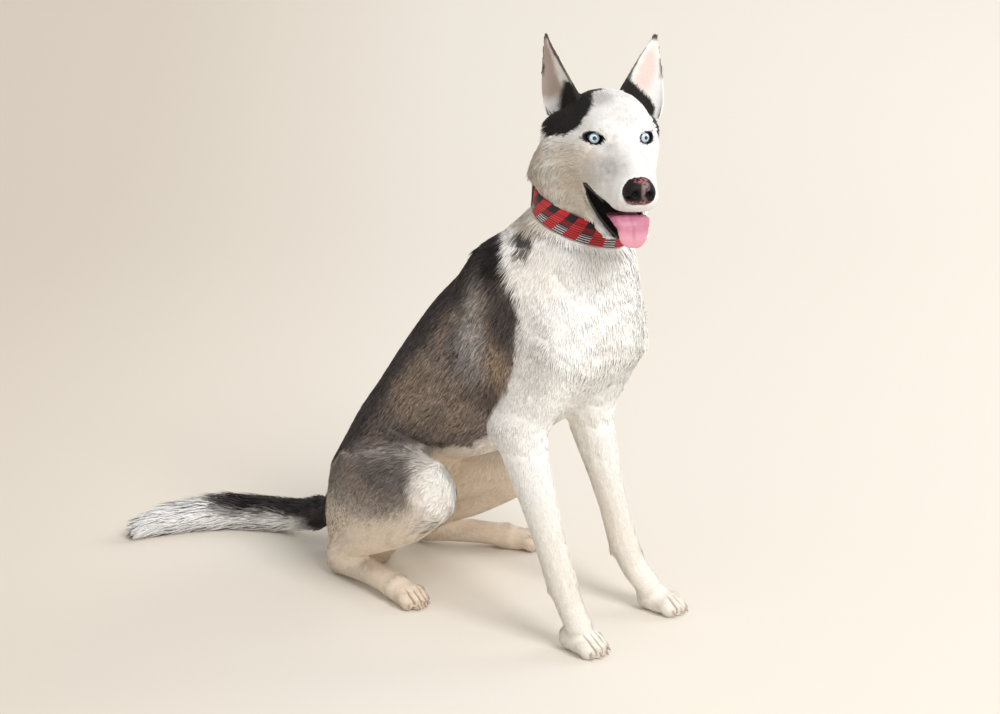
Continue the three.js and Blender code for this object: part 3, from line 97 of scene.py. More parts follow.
def to_row(b):
    return (np.asarray(b, float) + SHIFT) / 1000


def unit(v):
    v = np.asarray(v, float)
    return v / np.maximum(np.linalg.norm(v, axis=-1, keepdims=True), 1e-9)


def ramp(x, lo, hi):
    t = np.clip((x - lo) / (hi - lo), 0, 1)
    return t * t * (3 - 2 * t)


def grain(p, size, seed=0.0):
    """Smooth noise from -1 to 1 at points p, with blobs of the given size."""
    q = p / size + seed * 17.13
    i = np.floor(q)
    f = q - i
    f = f * f * (3 - 2 * f)
    total = 0
    for corner in range(8):
        c = np.array([corner & 1, (corner >> 1) & 1, corner >> 2])
        k = (i + c) @ np.array([127.1, 311.7, 74.7])
        value = np.modf(np.abs(np.sin(k) * 43758.5453))[0]
        total = total + value * np.prod(np.where(c, f, 1 - f), axis=1)
    return total * 2 - 1


def linear(rgb):
    c = np.asarray(rgb, float) / 255
    return np.where(c <= 0.04045, c / 12.92, ((c + 0.055) / 1.055) ** 2.4)


def to_segment(p, a, b):
    """Nearest place on a segment to points p: its share of the length, and the distance to it."""
    seg = b - a
    t = np.clip((p - a) @ seg / (seg @ seg), 0, 1)
    return t, np.linalg.norm(p - a - t[:, None] * seg, axis=1)


def both(a, b, *rest):
    """A zone of the coat and its mirror image."""
    mirror = np.array([1, -1, 1])
    return [(a, b, *rest), (a * mirror, b * mirror, *rest)]


# Coat zones
# A zone is a line that hair follows from its first point to its second, in mm in the body frame.
# Then: radius, hair length, hair width, lift in degrees, tufts per cm2.
ZONES = [
    ((-165, 0, 520), (-300, 0, 395), 38, 17, 1.87, 6, 16.2),
    ((-300, 0, 395), (-470, 0, 150), 38, 16.1, 1.87, 5.5, 16.2),
    ((-450, 0, 180), (-485, 0, 70), 50, 13.6, 1.7, 6, 16.2),
    *both((-150, -55, 450), (-330, -62, 215), 42, 16.1, 1.78, 6, 16.2),
    ((-22, 0, 480), (-45, 0, 330), 50, 16, 1.5, 3.8, 18.5),
    ((-60, -50, 470), (-70, -60, 340), 36, 15, 1.5, 3.8, 18.5),
    ((-60, 50, 470), (-70, 60, 340), 36, 15, 1.5, 3.8, 18),
    ((-130, 0, 300), (-330, 0, 165), 36, 12.8, 1.61, 7.1, 16.2),
    ((-120, 8, 630), (-175, 0, 520), 34, 18, 1.7, 5, 17.3),
    ((-95, -45, 610), (-105, -55, 480), 34, 18, 1.6, 4.6, 18),
    ((-75, 55, 610), (-85, 60, 480), 34, 18, 1.6, 4.6, 18),
    ((-38, 0, 560), (-22, 0, 480), 34, 17, 1.6, 4.2, 18),
    ((-60, -70, 440), (-104, -84, 300), 32, 11.9, 1.45, 3.8, 19.5),
    ((-66, 68, 440), (-114, 80, 300), 32, 11.9, 1.45, 3.8, 18.5),
    ((-112, -86, 285), (-34, -91, 84), 20, 9, 1.3, 4.3, 24),
    ((-120, 81, 285), (-50, 88, 74), 20, 9, 1.3, 4.3, 24),
    ((-26, -88, 56), (52, -84, 8), 22, 5, 0.9, 3.6, 36),
    ((-38, 90, 52), (46, 106, 8), 22, 5, 0.9, 3.6, 36),
    ((-300, -100, 225), (-430, -84, 70), 50, 12.8, 1.53, 5, 18.4),
    ((-306, 112, 215), (-430, 92, 70), 50, 12.8, 1.53, 5, 18.4),
    ((-226, -72, 176), (-218, -148, 136), 34, 12, 1.6, 5.6, 19),
    ((-252, 90, 166), (-244, 166, 126), 34, 12, 1.6, 5.6, 19),
    ((-262, -104, 140), (-430, -72, 46), 26, 11, 1.5, 5, 20),
    ((-280, 130, 134), (-428, 108, 46), 26, 11, 1.5, 5, 20),
    ((-450, -66, 26), (-268, -100, 8), 18, 6, 1, 3.6, 32),
    ((-440, 106, 26), (-276, 194, 8), 18, 6, 1, 3.6, 32),
]
# The same on the head, in mm in the head's own frame
HEAD_ZONES = [
    ((96, 0, -46), (30, 0, -14), 24, 4.2, 0.75, 5.4, 46),
    *both((88, -16, -66), (20, -36, -46), 16, 4.6, 0.8, 5.4, 42),
    ((24, 0, 2), (-48, 0, 58), 26, 6.5, 0.95, 6, 36),
    ((-50, 0, 56), (-118, 0, 10), 30, 12, 1.4, 8.4, 26),
    *both((0, -34, 16), (-62, -52, 26), 18, 6.5, 0.95, 6, 36),
    *both((6, -38, -16), (-70, -56, -22), 20, 8, 1.05, 6, 32),
    *both((4, -40, -50), (-84, -56, -64), 22, 11, 1.25, 8.4, 28),
    *both((-70, -56, -10), (-118, -46, -70), 24, 16, 1.6, 9.8, 22),
    ((72, 0, -122), (-50, 0, -92), 20, 7, 1.0, 6.6, 32),
    *both((60, -20, -117), (-10, -36, -84), 10, 6, 0.95, 6, 34),
    *both((-84, -50, 24), (-97, -76, 122), 20, 6.5, 0.9, 5.4, 30),
]
for first, second, *rest in HEAD_ZONES:
    ZONES.append((head_to_body(first), head_to_body(second), *rest))
HEAD_FROM = len(ZONES) - len(HEAD_ZONES)
ZONE_STARTS, ZONE_ENDS, ZONE_RADII = (np.array([z[k] for z in ZONES], float) for k in range(3))
ZONE_VALUES = np.array([z[3:] for z in ZONES], float)
# How softly zones run into each other, in mm
BODY_SOFT, HEAD_SOFT = 17.0, 9.0

# The tail: x, y, z, half-width and half-height of the brush, then height and share of its core
TAIL = np.array([
    (-470, 6, 84, 26, 30, 84, 1.0), (-505, 10, 68, 27, 31, 70, 0.9), (-540, 15, 56, 29, 32, 52, 0.72),
    (-605, 18, 44, 34, 36, 33, 0.5), (-662, 6, 40, 36, 38, 26, 0.42), (-712, -22, 38, 36, 37, 24, 0.4),
    (-752, -70, 36, 33, 34, 22, 0.38), (-776, -116, 28, 26, 27, 18, 0.34),
    (-781, -138, 20, 18, 18, 14, 0.3),
])


def curve_point(rows, t):
    """Rows read as a smooth curve, at shares t of its length."""
    n = len(rows) - 1
    x = np.clip(np.asarray(t, float), 0, 1) * n
    i = np.minimum(x.astype(int), n - 1)
    f = (x - i)[:, None]
    p = [rows[np.clip(i + k, 0, n)] for k in (-1, 0, 1, 2)]
    return 0.5 * (
        2 * p[1]
        + (p[2] - p[0]) * f
        + (2 * p[0] - 5 * p[1] + 4 * p[2] - p[3]) * f**2
        + (3 * p[1] - p[0] - 3 * p[2] + p[3]) * f**3
    )


TAIL_STEPS = curve_point(TAIL, np.linspace(0, 1, 49))


def along_tail(b):
    """Nearest station of the tail for points b: share of its length and distance from the core's line."""
    line = TAIL_STEPS[:, [0, 1, 5]]
    best = np.full(len(b), 1e9)
    share = np.zeros(len(b))
    for k in range(len(line) - 1):
        t, d = to_segment(b, line[k], line[k + 1])
        near = d < best
        best[near] = d[near]
        share[near] = (k + t[near]) / (len(line) - 1)
    return share, best


def zone_weights(b):
    """Share of each zone at points b of the body."""
    weights = np.zeros((len(b), len(ZONES)), np.float32)
    for k, (start, end, radius) in enumerate(zip(ZONE_STARTS, ZONE_ENDS, ZONE_RADII)):
        soft = HEAD_SOFT if k >= HEAD_FROM else BODY_SOFT
        d = to_segment(b, start, end)[1] - radius
        weights[:, k] = np.exp(-np.maximum(d, -soft * 3) / soft)
    return weights / weights.sum(1, keepdims=True)


# Depth, hair length, hair width, lift and density on the tail, before they vary along it
TAIL_COAT = np.array([18, 40, 2.0, 26, 20.0])


def coat_values(b):
    """Depth, length, width, lift and density of the coat at points b, with its lie and the tail's share."""
    w = zone_weights(b)
    values = w @ ZONE_VALUES
    length, width, lift, _ = values.T
    depth = (0.68 + 0.2 * ramp(length, 7, 15)) * length * np.sin(np.radians(lift)) + 0.15 * width + 0.2
    values = np.concatenate([depth[:, None], values], 1)
    flow = w @ unit(ZONE_ENDS - ZONE_STARTS)
    share, d = along_tail(b)
    m = (ramp(-b[:, 0], 505, 560) * ramp(-d, -90, -60))[:, None]
    on_tail = TAIL_COAT * np.ones((len(b), 1))
    on_tail[:, 3] = 26 - 8 * ramp(share, 0.6, 0.9)
    on_tail[:, 1] = 18 + 26 * ramp(share, 0.28, 0.5) - 25 * ramp(share, 0.8, 1)
    ahead = curve_point(TAIL, share + 0.02)[:, :3] - curve_point(TAIL, share - 0.02)[:, :3]
    values = values * (1 - m) + on_tail * m
    return values, unit(flow * (1 - m) + unit(ahead) * m), m[:, 0]


# Camera at the photograph's viewing angle, aimed at a point given in mm of the body frame
AZIMUTH, ELEVATION, DISTANCE = 52.588, 15.572, 3.0
AIM = [-208, 0, 348.5]
LENS, SENSOR = 79.98, 36
az, el = math.radians(AZIMUTH), math.radians(ELEVATION)
back = np.array([math.cos(az) * math.cos(el), -math.sin(az) * math.cos(el), math.sin(el)])
scene = bpy.context.scene
camera = bpy.data.objects.new("camera", bpy.data.cameras.new("camera"))
scene.collection.objects.link(camera)
camera.data.lens = LENS
camera.data.sensor_width = SENSOR
camera.data.clip_start = 0.1
camera.data.clip_end = 60
camera.location = Vector(to_row(AIM) + back * DISTANCE)
camera.rotation_euler = (-Vector(back)).to_track_quat("-Z", "Y").to_euler()
scene.camera = camera
scene.view_settings.view_transform = "Standard"


# Mesh helpers
MM = 0.001


def link(name, mesh):
    """A smooth-shaded object in the scene."""
    obj = bpy.data.objects.new(name, mesh)
    scene.collection.objects.link(obj)
    mesh.polygons.foreach_set("use_smooth", np.ones(len(mesh.polygons), bool))
    return obj


def read(items, field, width=1, kind=np.float32):
    """One field of a mesh's items, in rows of the given width."""
    values = np.empty(len(items) * width, kind)
    items.foreach_get(field, values)
    return values.reshape(-1, width)


def positions(mesh):
    return read(mesh.vertices, "co", 3).astype(float)


def normals(mesh):
    return read(mesh.vertex_normals, "vector", 3).astype(float)


def set_positions(mesh, p):
    mesh.vertices.foreach_set("co", np.ascontiguousarray(p, np.float32).ravel())
    mesh.update()


def swell(mesh, by):
    """Moves a mesh's surface outwards by mm."""
    set_positions(mesh, positions(mesh) + normals(mesh) * by / 1000)


def applied(obj):
    """The object's mesh with its modifiers worked in."""
    graph = bpy.context.evaluated_depsgraph_get()
    mesh = bpy.data.meshes.new_from_object(obj.evaluated_get(graph))
    old = obj.data
    obj.modifiers.clear()
    obj.data = mesh
    bpy.data.meshes.remove(old)
    return mesh


def baked(bm, mesh):
    """Writes a bmesh into a mesh, or into a new one of the given name."""
    mesh = bpy.data.meshes.new(mesh) if isinstance(mesh, str) else mesh
    bm.to_mesh(mesh)
    bm.free()
    return mesh


def merged_copy(name, members):
    """One mesh from copies of CAD nodes, with their loose triangles merged."""
    bm = bmesh.new()
    for n in members:
        bm.from_mesh(nodes[n].data)
    bmesh.ops.remove_doubles(bm, verts=bm.verts, dist=2e-6)
    return link(name, baked(bm, name))


def remesh(obj, voxel):
    m = obj.modifiers.new("remesh", "REMESH")
    m.mode = "VOXEL"
    m.voxel_size = voxel
    return applied(obj)


def weight_group(obj, name, w):
    """A vertex group with weight w, in steps of a twentieth."""
    group = obj.vertex_groups.new(name=name)
    step = np.round(np.clip(w, 0, 1) * 20).astype(int)
    for k in range(1, 21):
        picked = np.where(step == k)[0]
        if len(picked):
            group.add(picked.tolist(), k / 20, "REPLACE")
    return group


def relax(obj, name, w, rounds):
    weight_group(obj, name, w)
    m = obj.modifiers.new(name, "SMOOTH")
    m.factor = 0.5
    m.iterations = rounds
    m.vertex_group = name


def paint(mesh, rgb, name="tint"):
    layer = mesh.color_attributes.new(name, "FLOAT_COLOR", "POINT")
    rgba = np.ones((len(mesh.vertices), 4), np.float32)
    rgba[:, :3] = rgb
    layer.data.foreach_set("color", rgba.ravel())


# Markings: colours in sRGB, places in mm
WHITE = linear((249, 247, 244))
CREAM = linear((234, 215, 192))
TAN = linear((160, 138, 116))
BROWN = linear((125, 112, 104))
GREY = linear((104, 98, 97))
SILVER = linear((172, 166, 163))
DARK = linear((60, 54, 54))
BLACK = linear((26, 22, 23))
PINK = linear((222, 170, 160))

# Beige-grey of the painted shade on the right cheek
SHADED = linear((206, 194, 178))
# Black of the lips and gums, also used as painted shade on the roof and underside of the open mouth
LINING_AND_SHADE = linear((24, 18, 20))
EAR_SHADE = linear((172, 150, 140))
EAR_BAND = linear((84, 75, 70))
EAR_BACK = linear((122, 108, 98))
EAR_RISE = [0, 0.18, 0.36, 0.55, 0.74, 0.9, 1]
EAR_HALF = [34, 33.5, 29.5, 24, 17.5, 9.8, 3.6]

# Side view of the dark saddle: x and z
SADDLE = [
    (-200, 560), (-168, 536), (-140, 517), (-130, 499), (-115, 484), (-103, 460), (-95, 440), (-98, 412),
    (-106, 372), (-112, 350), (-130, 324), (-148, 302), (-170, 272), (-194, 246), (-222, 230), (-292, 224),
    (-330, 214), (-430, 190), (-458, 160), (-474, 110), (-484, 60), (-640, 60), (-640, 300), (-560, 600),
]
# Side view of the grey that runs on over the thigh
THIGH = [
    (-520, 240), (-330, 236), (-280, 232), (-246, 214), (-242, 188), (-262, 152), (-312, 128), (-360, 112),
    (-400, 92), (-430, 78), (-470, 40), (-520, 20),
]
# Side view of the black patch by the right ear in the head's frame, and the band by the left ear
RIGHT_PATCH = [
    (-82, 5), (-70, 1), (-58, -1), (-39, 0), (-26, 4), (-18, 10), (-13, 20), (-13, 31), (-19, 39),
    (-35, 47.5), (-56, 57), (-68, 63), (-94, 66), (-110, 50), (-118, 24), (-100, 8),
]
LEFT_BAND = [
    (-84, 22, 61), (-94, 33, 58), (-104, 46, 49), (-106, 57, 39), (-104, 68, 27), (-90, 70, 20),
    (-76, 68, 18), (-66, 70, 8),
]

# Side view of the open mouth in the head's frame: x plus the inset from the cheek, and z
MOUTH = [
    (-9, -56), (2, -56), (21, -61), (37, -67), (62, -78), (72, -83), (84, -87), (150, -89), (150, -127),
    (100, -126), (84, -117), (72, -114), (58, -109), (45, -104), (35, -99), (27, -95), (20, -89),
    (13, -84), (6, -77), (-2, -67),
]
CHEEK = 37
NARROWER_LEFT = 0.84
NECK_SPOT = [
    (-136, 556), (-140, 546), (-134, 528), (-122, 514), (-108, 516), (-99, 530), (-104, 542), (-122, 548),
]
BACK_LINE = [
    (-180, 528), (-237, 486), (-290, 434), (-343, 370), (-392, 304), (-440, 240), (-480, 172), (-497, 112),
]
# Dabs on both sides: colour, strength, place, radii, softness
SADDLE_DABS = [
    (SILVER, 0.6, (-178, 92, 425), (20, 46, 66), 0.7), (TAN, 0.8, (-136, 104, 362), (26, 40, 40), 0.6),
    (DARK, 0.8, (-122, 96, 450), (26, 40, 52), 0.6), (BLACK, 0.95, (-150, 66, 502), (34, 40, 34), 0.5),
    (BLACK, 0.4, (-160, 84, 322), (40, 40, 18), 0.7), (DARK, 0.5, (-400, 84, 246), (50, 60, 30), 0.7),
]
# Faint greys on the bridge and by the eyes, partly grey hair and partly painted shade, in the head's frame:
# strength, place, radii
FACE_GREYS_AND_SHADE = [
    (0.3, (54, -16, -27), (26, 12, 16)), (0.42, (42, -31, -38), (24, 12, 18)),
    (0.34, (20, -18, -2), (20, 8, 13)), (0.12, (-4, 2, 24), (24, 12, 18)),
]
# Corners of the eyes and a streak above: colour, strength, place ahead, aside and up, radii, softness
EYE_DABS = [
    (BLACK, 0.95, 8, 14, -4.5, (9, 4, 3.6), 0.4), (BLACK, 0.95, 8, 17.5, -8, (9, 3.2, 2.4), 0.4),
    (GREY, 0.7, 9, 9.5, 9, (7, 2.6, 3.6), 0.5),
]


def to_line(points, line):
    """Distance from points to a line through several others."""
    line = np.array(line, float)
    return np.min([to_segment(points, a, b)[1] for a, b in zip(line, line[1:])], axis=0)


def inside(points, polygon):
    """Distance inside a polygon, in mm, below zero outside it."""
    poly = np.array(polygon, float)
    x, y = points.T
    within = np.zeros(len(points), bool)
    for a, b in zip(poly, np.roll(poly, -1, axis=0)):
        at = a[0] + (y - a[1]) * (b[0] - a[0]) / (b[1] - a[1] + 1e-9)
        within ^= ((a[1] > y) != (b[1] > y)) & (x < at)
    edge = to_line(points, [*poly, poly[0]])
    return np.where(within, edge, -edge)


def blob(p, centre, radii, soft=0.25):
    """1 within an ellipsoid, falling to 0 over the given share of its radius."""
    r = np.linalg.norm((p - np.array(centre)) / np.array(radii), axis=1)
    return 1 - ramp(r, 1 - soft, 1 + soft)


def mix(colour, other, share):
    return colour + (np.asarray(other) - colour) * np.clip(share, 0, 1)[:, None]


def dabbed(colour, p, rows, sides=(1,)):
    """Colours with dabs laid over them at points p."""
    for side in sides:
        for other, strength, centre, radii, soft in rows:
            colour = mix(colour, other, strength * blob(p, centre * np.array([1, side, 1]), radii, soft))
    return colour


def ear_frame(side):
    """Base, axis, way the cup opens, way across and height of an ear, in the head's frame."""
    base = np.array([-84, 50 if side > 0 else -52, 22.0])
    rise = np.array([-97, 74 * side, 123]) - base
    axis = unit(rise)
    opens = math.radians(6 if side > 0 else 64)
    want = np.array([math.cos(opens), math.sin(opens) * side, 0])
    cup = unit(want - axis * (want @ axis))
    return base, axis, cup, np.cross(axis, cup), np.linalg.norm(rise)


def eye_frame(side):
    """Centre, gaze, side and up vectors of an eye, in the head's frame."""
    gaze = unit([math.cos(math.radians(16)), math.sin(math.radians(16)) * side, 0.03])
    across = unit(np.cross([0, 0, 1], gaze))
    return EYE_CENTRE * [1, side, 1], gaze, across, np.cross(gaze, across)


def lid_share(h):
    """Distance from the middle of the lids, as a share of their opening, at points h of the head."""
    nearest = np.full(len(h), 9.0)
    for side in (-1, 1):
        centre, gaze, across, up = eye_frame(side)
        rel = h - centre
        tilt = LID_TILT * side
        x, y = rel @ across, rel @ up
        x, y = x * math.cos(tilt) + y * math.sin(tilt), y * math.cos(tilt) - x * math.sin(tilt)
        q = np.hypot(x / (LID_WIDTH / 2), y / (LID_HEIGHT / 2))
        nearest = np.where((rel @ gaze > -2) & (np.abs(x) < 40), np.minimum(nearest, q), nearest)
    return nearest


def ear_places(h, side):
    """Height up an ear and place across it, as shares, with the way it opens."""
    base, axis, cup, across, height = ear_frame(side)
    up = (h - base) @ axis / height
    return up, (h - base) @ across * side / np.interp(up, EAR_RISE, EAR_HALF), cup


def ear_colours(h, facing):
    """Colours of the ears at points h that face the given way, both in the head's frame."""
    colour = WHITE
    for side in (-1, 1):
        up, wide, cup = ear_places(h, side)
        wide = wide + 0.12 * grain(h, 7, 12)
        up = up + 0.03 * grain(h, 9, 13)
        if side < 0:
            inner = mix(WHITE, EAR_SHADE, 0.85 * ramp(wide, -0.05, 0.35) * ramp(up, 0.1, 0.3))
            inner = mix(inner, EAR_SHADE, 0.45 * ramp(up, 0.55, 0.75))
            band = -0.62 + 0.42 * ramp(up, 0.35, 0.8)
            inner = mix(inner, EAR_BAND, 0.92 * (1 - ramp(wide - band, -0.1, 0.1)) * ramp(up, 0.2, 0.34))
        else:
            inner = mix(WHITE, PINK, 0.5 * blob(np.stack([wide, up], 1), (0.1, 0.55), (0.5, 0.34), 0.6))
            inner = mix(inner, BLACK, 0.9 * (1 - ramp(wide, -0.66, -0.5)) * ramp(up, 0.05, 0.2))
        inner = mix(inner, DARK, 0.9 * ramp(wide, 0.72, 0.9) * ramp(up, 0.45, 0.6))
        inner = mix(inner, EAR_BAND, ramp(up, 0.9, 0.97))
        outer = mix(EAR_BACK, BLACK, 0.75 * (1 - ramp(up, 0.12, 0.4)))
        outer = mix(outer, DARK, 0.6 * ramp(np.abs(wide), 0.6, 0.9) + 0.5 * ramp(up, 0.75, 0.95))
        ear = mix(outer, inner, ramp(facing @ cup, -0.15, 0.2))
        colour = np.where((h[:, 1] * side > 0)[:, None], ear, colour)
    return colour


def markings(b, facing, in_ear):
    """At points b of the body: colour of the coat, how much its hairs differ, streaks, mouth and lids."""
    h = body_to_head(b)
    (x, y, z), (hx, hy, hz) = b.T, h.T
    head_facing = facing @ HEAD_AXES
    side = b[:, [0, 2]] + 5 * np.stack([grain(b, 14, 1), grain(b, 14, 2)], 1)
    side = side + 2.5 * np.stack([grain(b, 5, 3), grain(b, 5, 4)], 1)
    blotch = grain(b, 34, 5) + 0.5 * grain(b, 13, 6)
    streak = grain(b * [1, 1, 0.4], 4.5, 7)
    # warm cream under the belly, inside the thighs and on the feet
    warm = 0.35 * ramp(-z, -250, -120) + 0.35 * ramp(-np.abs(y), -80, -30) * ramp(-z, -330, -230)
    warm = warm + 0.5 * ramp(-x, 190, 280) * ramp(-z, -250, -200)
    colour = mix(WHITE, CREAM, warm * (z < 420))
    # grey veil on the upper arm
    veil = blob(b, (-80, -100, 395), (34, 60, 62), 0.5) + blob(b, (-86, 96, 395), (34, 60, 62), 0.5)
    colour = mix(colour, SILVER, veil * (0.34 + 0.3 * blotch))
    # saddle
    saddle = ramp(inside(side, SADDLE), -5, 7) * ramp(-hx - 0.4 * hz, -30, 10)
    away = to_line(b[:, [0, 2]], BACK_LINE) - 9 * blotch
    flanks = sum(blob(b, (-260, y_side, 300), (60, 60, 70), 0.6) for y_side in (-90, 90))
    coat = mix(mix(BROWN, GREY, 0.5 + 0.9 * blotch), TAN, 0.3 * flanks)
    coat = mix(coat, DARK, 1 - ramp(away, 34, 74))
    coat = mix(coat, BLACK, 0.8 * (1 - ramp(away, 6, 36)))
    colour = mix(colour, dabbed(coat, b, SADDLE_DABS, (-1, 1)), saddle)
    # thigh
    thigh = ramp(inside(side, THIGH), -14, 18) * (x < -190) * ramp(np.abs(y), 40, 62)
    thigh = thigh * ramp(facing[:, 1] * np.sign(y), -0.35, 0.1) * (1 - saddle)
    coat = mix(mix(GREY, BROWN, 0.5 + blotch), SILVER, ramp(-z, -175, -105) * 0.8)
    coat = mix(coat, DARK, 0.6 * ramp(-x, 395, 460) + 0.55 * blob(b, (-320, -120, 200), (60, 60, 16), 0.7))
    colour = mix(colour, coat, thigh * (0.92 - 0.5 * ramp(-z, -150, -90)))
    colour = dabbed(colour, b, [(DARK, 0.55, (-290, 88, 234), (64, 40, 9), 0.7)], (-1, 1))
    spread = 0.05 + 0.12 * np.clip(veil, 0, 1) + 0.34 * saddle + 0.25 * thigh
    # neck spot, on the right side only
    colour = mix(colour, BLACK, 0.93 * ramp(inside(side, NECK_SPOT), -2, 2) * (y < -10))
    colour = dabbed(colour, b, [(CREAM, 0.25, (-90, -75, 500), (40, 40, 30), 0.6)])
    # tail: its white is painted brighter than elsewhere, painted light that lifts the shade among its long
    # hairs
    share, from_tail = along_tail(b)
    tail = ramp(-x, 478, 500) * ramp(-from_tail, -64, -50)
    above = (z - curve_point(TAIL, share)[:, 2] + 6 * blotch) / 30
    dark = np.maximum(ramp(above, -0.65, -0.05), 1 - ramp(share + 0.02 * blotch, 0.28, 0.36))
    dark = dark * (1 - ramp(share + 0.012 * blotch, 0.6, 0.66))
    colour = mix(colour, WHITE * 1.12, tail)
    colour = mix(colour, mix(BLACK, DARK, 0.5 + streak), tail * dark)
    # head: patches by the ears
    on_head = (hx > -130) & (hz > -60)
    wob = h + 2.2 * np.stack([grain(b, 6, 8), grain(b, 6, 9), grain(b, 6, 10)], 1)
    right = ramp(inside(wob[:, [0, 2]], RIGHT_PATCH), -2, 2) * (hy < -4)
    right = right * (1 - in_ear * ramp(-hy, 46, 53))
    left = 1 - ramp(to_line(wob, LEFT_BAND), 7.5, 11)
    colour = mix(colour, ear_colours(h, head_facing), in_ear)
    colour = mix(colour, BLACK, np.maximum(right, left) * on_head)
    colour = mix(colour, GREY, 0.4 * on_head * blob(wob, (-26, -16, 44), (16, 16, 16), 0.6) * (1 - right))
    # painted shade: the right cheek, turned away from the key light, is painted beige-grey
    cheek_shade = ramp(-hy, 22, 44) * ramp(hx, -130, -90) * (1 - ramp(hx, 20, 50))
    cheek_shade = cheek_shade * (1 - ramp(hz, -20, 2)) * (hz > -125) * (1 - np.maximum(right, in_ear))
    colour = mix(colour, SHADED, cheek_shade * (0.75 + 0.3 * blotch))
    # greys on the bridge and by the eyes: partly grey hair, partly painted shade
    fleck = 0.8 + 0.5 * grain(b, 5, 11)
    colour = dabbed(colour, h, [(GREY, strength * fleck, *rest, 0.7) for strength, *rest in FACE_GREYS_AND_SHADE])
    # eyes and lips
    lid = lid_share(wob * 0.3 + h * 0.7)
    colour = mix(colour, BLACK, (1 - ramp(lid, 1.16, 1.32)) * (hx > -20))
    for side in (-1, 1):
        centre, gaze, across, up = eye_frame(side)
        for other, strength, ahead, aside, rise, radii, soft in EYE_DABS:
            spot = centre + gaze * ahead - across * side * aside + up * rise
            colour = mix(colour, other, strength * blob(h, spot, radii, soft))
    out = np.where(hy > 0, hy / NARROWER_LEFT, -hy)
    mouth = inside(np.stack([hx + CHEEK - out, hz], 1), MOUTH)
    near_mouth = (out < 48) & (hx > -8) & (hx < 100)
    # painted shade: the roof of the open mouth and a thin band past the mouth's edge are painted as black
    # as the lining
    shaded_roof = (head_facing[:, 2] < -0.5) & (out < 26) & (hx > -8) & (hx < 60) & (hz > -88) & (hz < -48)
    mouth = np.where(shaded_roof, 5, mouth)
    colour = mix(colour, LINING_AND_SHADE, ramp(mouth, -2.2, -0.6) * near_mouth)
    return colour, spread, streak, (mouth > -3) & near_mouth, lid


# Skin: every node of flesh in one closed surface, sunk by the depth of the coat
BARE_NODES = ("claw", "eye", "nose", "tongue", "collar", "tail")
FLESH = [n for n in nodes if not n.startswith(BARE_NODES)]
EAR_SWELL = 0.9
GROOVE = 2.7
VOXEL = 0.0017
KEPT_SHARE = 0.2
TOE_TIPS = [(40, -84, 10), (34, 104, 10), (-276, -98, 10), (-284, 190, 10)]


def tree_of(members):
    """A search tree over CAD nodes."""
    mesh = merged_copy("search", members)
    tree = BVHTree.FromObject(mesh, bpy.context.evaluated_depsgraph_get())
    bpy.data.objects.remove(mesh)
    return tree


def distance(tree, points, reach=0.03):
    """Distance in mm from points in the row frame to a tree, up to its reach."""
    found = [tree.find_nearest(Vector(q), reach)[3] for q in points]
    return np.array([reach if d is None else d for d in found]) * 1000


EAR_TREE = tree_of(["ear_right", "ear_left"])
HEAD_TREE = tree_of(["head"])
NOSE_TREE = tree_of(["nose"])


def paw_share(b):
    """1 near the toes of the four feet, at points b of the body."""
    nearest = np.min([np.linalg.norm(b - t, axis=1) for t in TOE_TIPS], axis=0)
    return 1 - ramp(nearest, 46, 66)


def low_paw(b):
    """1 on the paws and 0 on the leg above them, at points b of the body."""
    return (1 - ramp(b[:, 2], 30, 42)) * ramp(paw_share(b), 0.2, 0.8)


def ear_share(b):
    """1 on the ears and 0 on the head, at points b of the body."""
    h = body_to_head(b)
    close = np.where((h[:, 2] > 8) & (h[:, 0] < -45))[0]
    share = np.zeros(len(b))
    q = to_row(b[close])
    share[close] = ramp(distance(HEAD_TREE, q) - distance(EAR_TREE, q), -1.5, 2.5)
    return share


def tail_core(sides=20):
    """The body of the tail under its brush, as a closed tube."""
    rows = curve_point(TAIL, np.linspace(0, 1, 20))
    bm = bmesh.new()
    rings = []
    for (x, y, _, w, h, core, share), (ax, ay) in zip(rows, unit(np.gradient(rows[:, :2], axis=0))):
        m = np.eye(4)
        m[:3, 0] = np.array([-ay, ax, 0]) * w * share / 1000
        m[:3, 1] = 0, 0, h * share / 1000
        m[:3, 3] = to_row([x, y, core])
        ring = bmesh.ops.create_circle(bm, segments=sides, radius=1, matrix=Matrix(m.tolist()))
        rings.append(list({e for v in ring["verts"] for e in v.link_edges}))
    for a, b in zip(rings, rings[1:]):
        bmesh.ops.bridge_loops(bm, edges=a + b)
    for ring in (rings[0], rings[-1]):
        bmesh.ops.contextual_create(bm, geom=ring)
    bmesh.ops.recalc_face_normals(bm, faces=bm.faces)
    return baked(bm, "tail_core")


skin = merged_copy("skin", [n for n in FLESH if not n.startswith("ear")])
bm = bmesh.new()
bm.from_mesh(skin.data)
for n in ("ear_right", "ear_left"):
    ear = merged_copy(n + "_copy", [n])
    swell(ear.data, EAR_SWELL)
    bm.from_mesh(ear.data)
    bpy.data.objects.remove(ear)
core = tail_core()
bm.from_mesh(core)
bpy.data.meshes.remove(core)
baked(bm, skin.data)
remesh(skin, VOXEL)
place = to_body(positions(skin.data))
ahead, _, high = body_to_head(place).T
values, _, on_tail = coat_values(place)
fine = ramp(values[:, 0], 1.4, 2.8)
in_head = ramp(ahead, -70, -50) * ramp(high, -128, -118)
in_ear = ear_share(place)
in_paw = low_paw(place)
relax(skin, "even", 1 - 0.3 * np.maximum(in_ear, in_paw), 5)
relax(skin, "limbs", 1 - np.maximum.reduce([in_head, in_ear, in_paw]), 14)
relax(skin, "broad", fine * (1 - in_head) * (1 - in_ear) * (1 - on_tail), 60)
applied(skin)
place = to_body(positions(skin.data))
ahead, _, high = body_to_head(place).T
in_mouth = ramp(ahead, -8, 2) * ramp(-high, 56, 62) * ramp(high, -128, -122)
values, _, on_tail = coat_values(place)
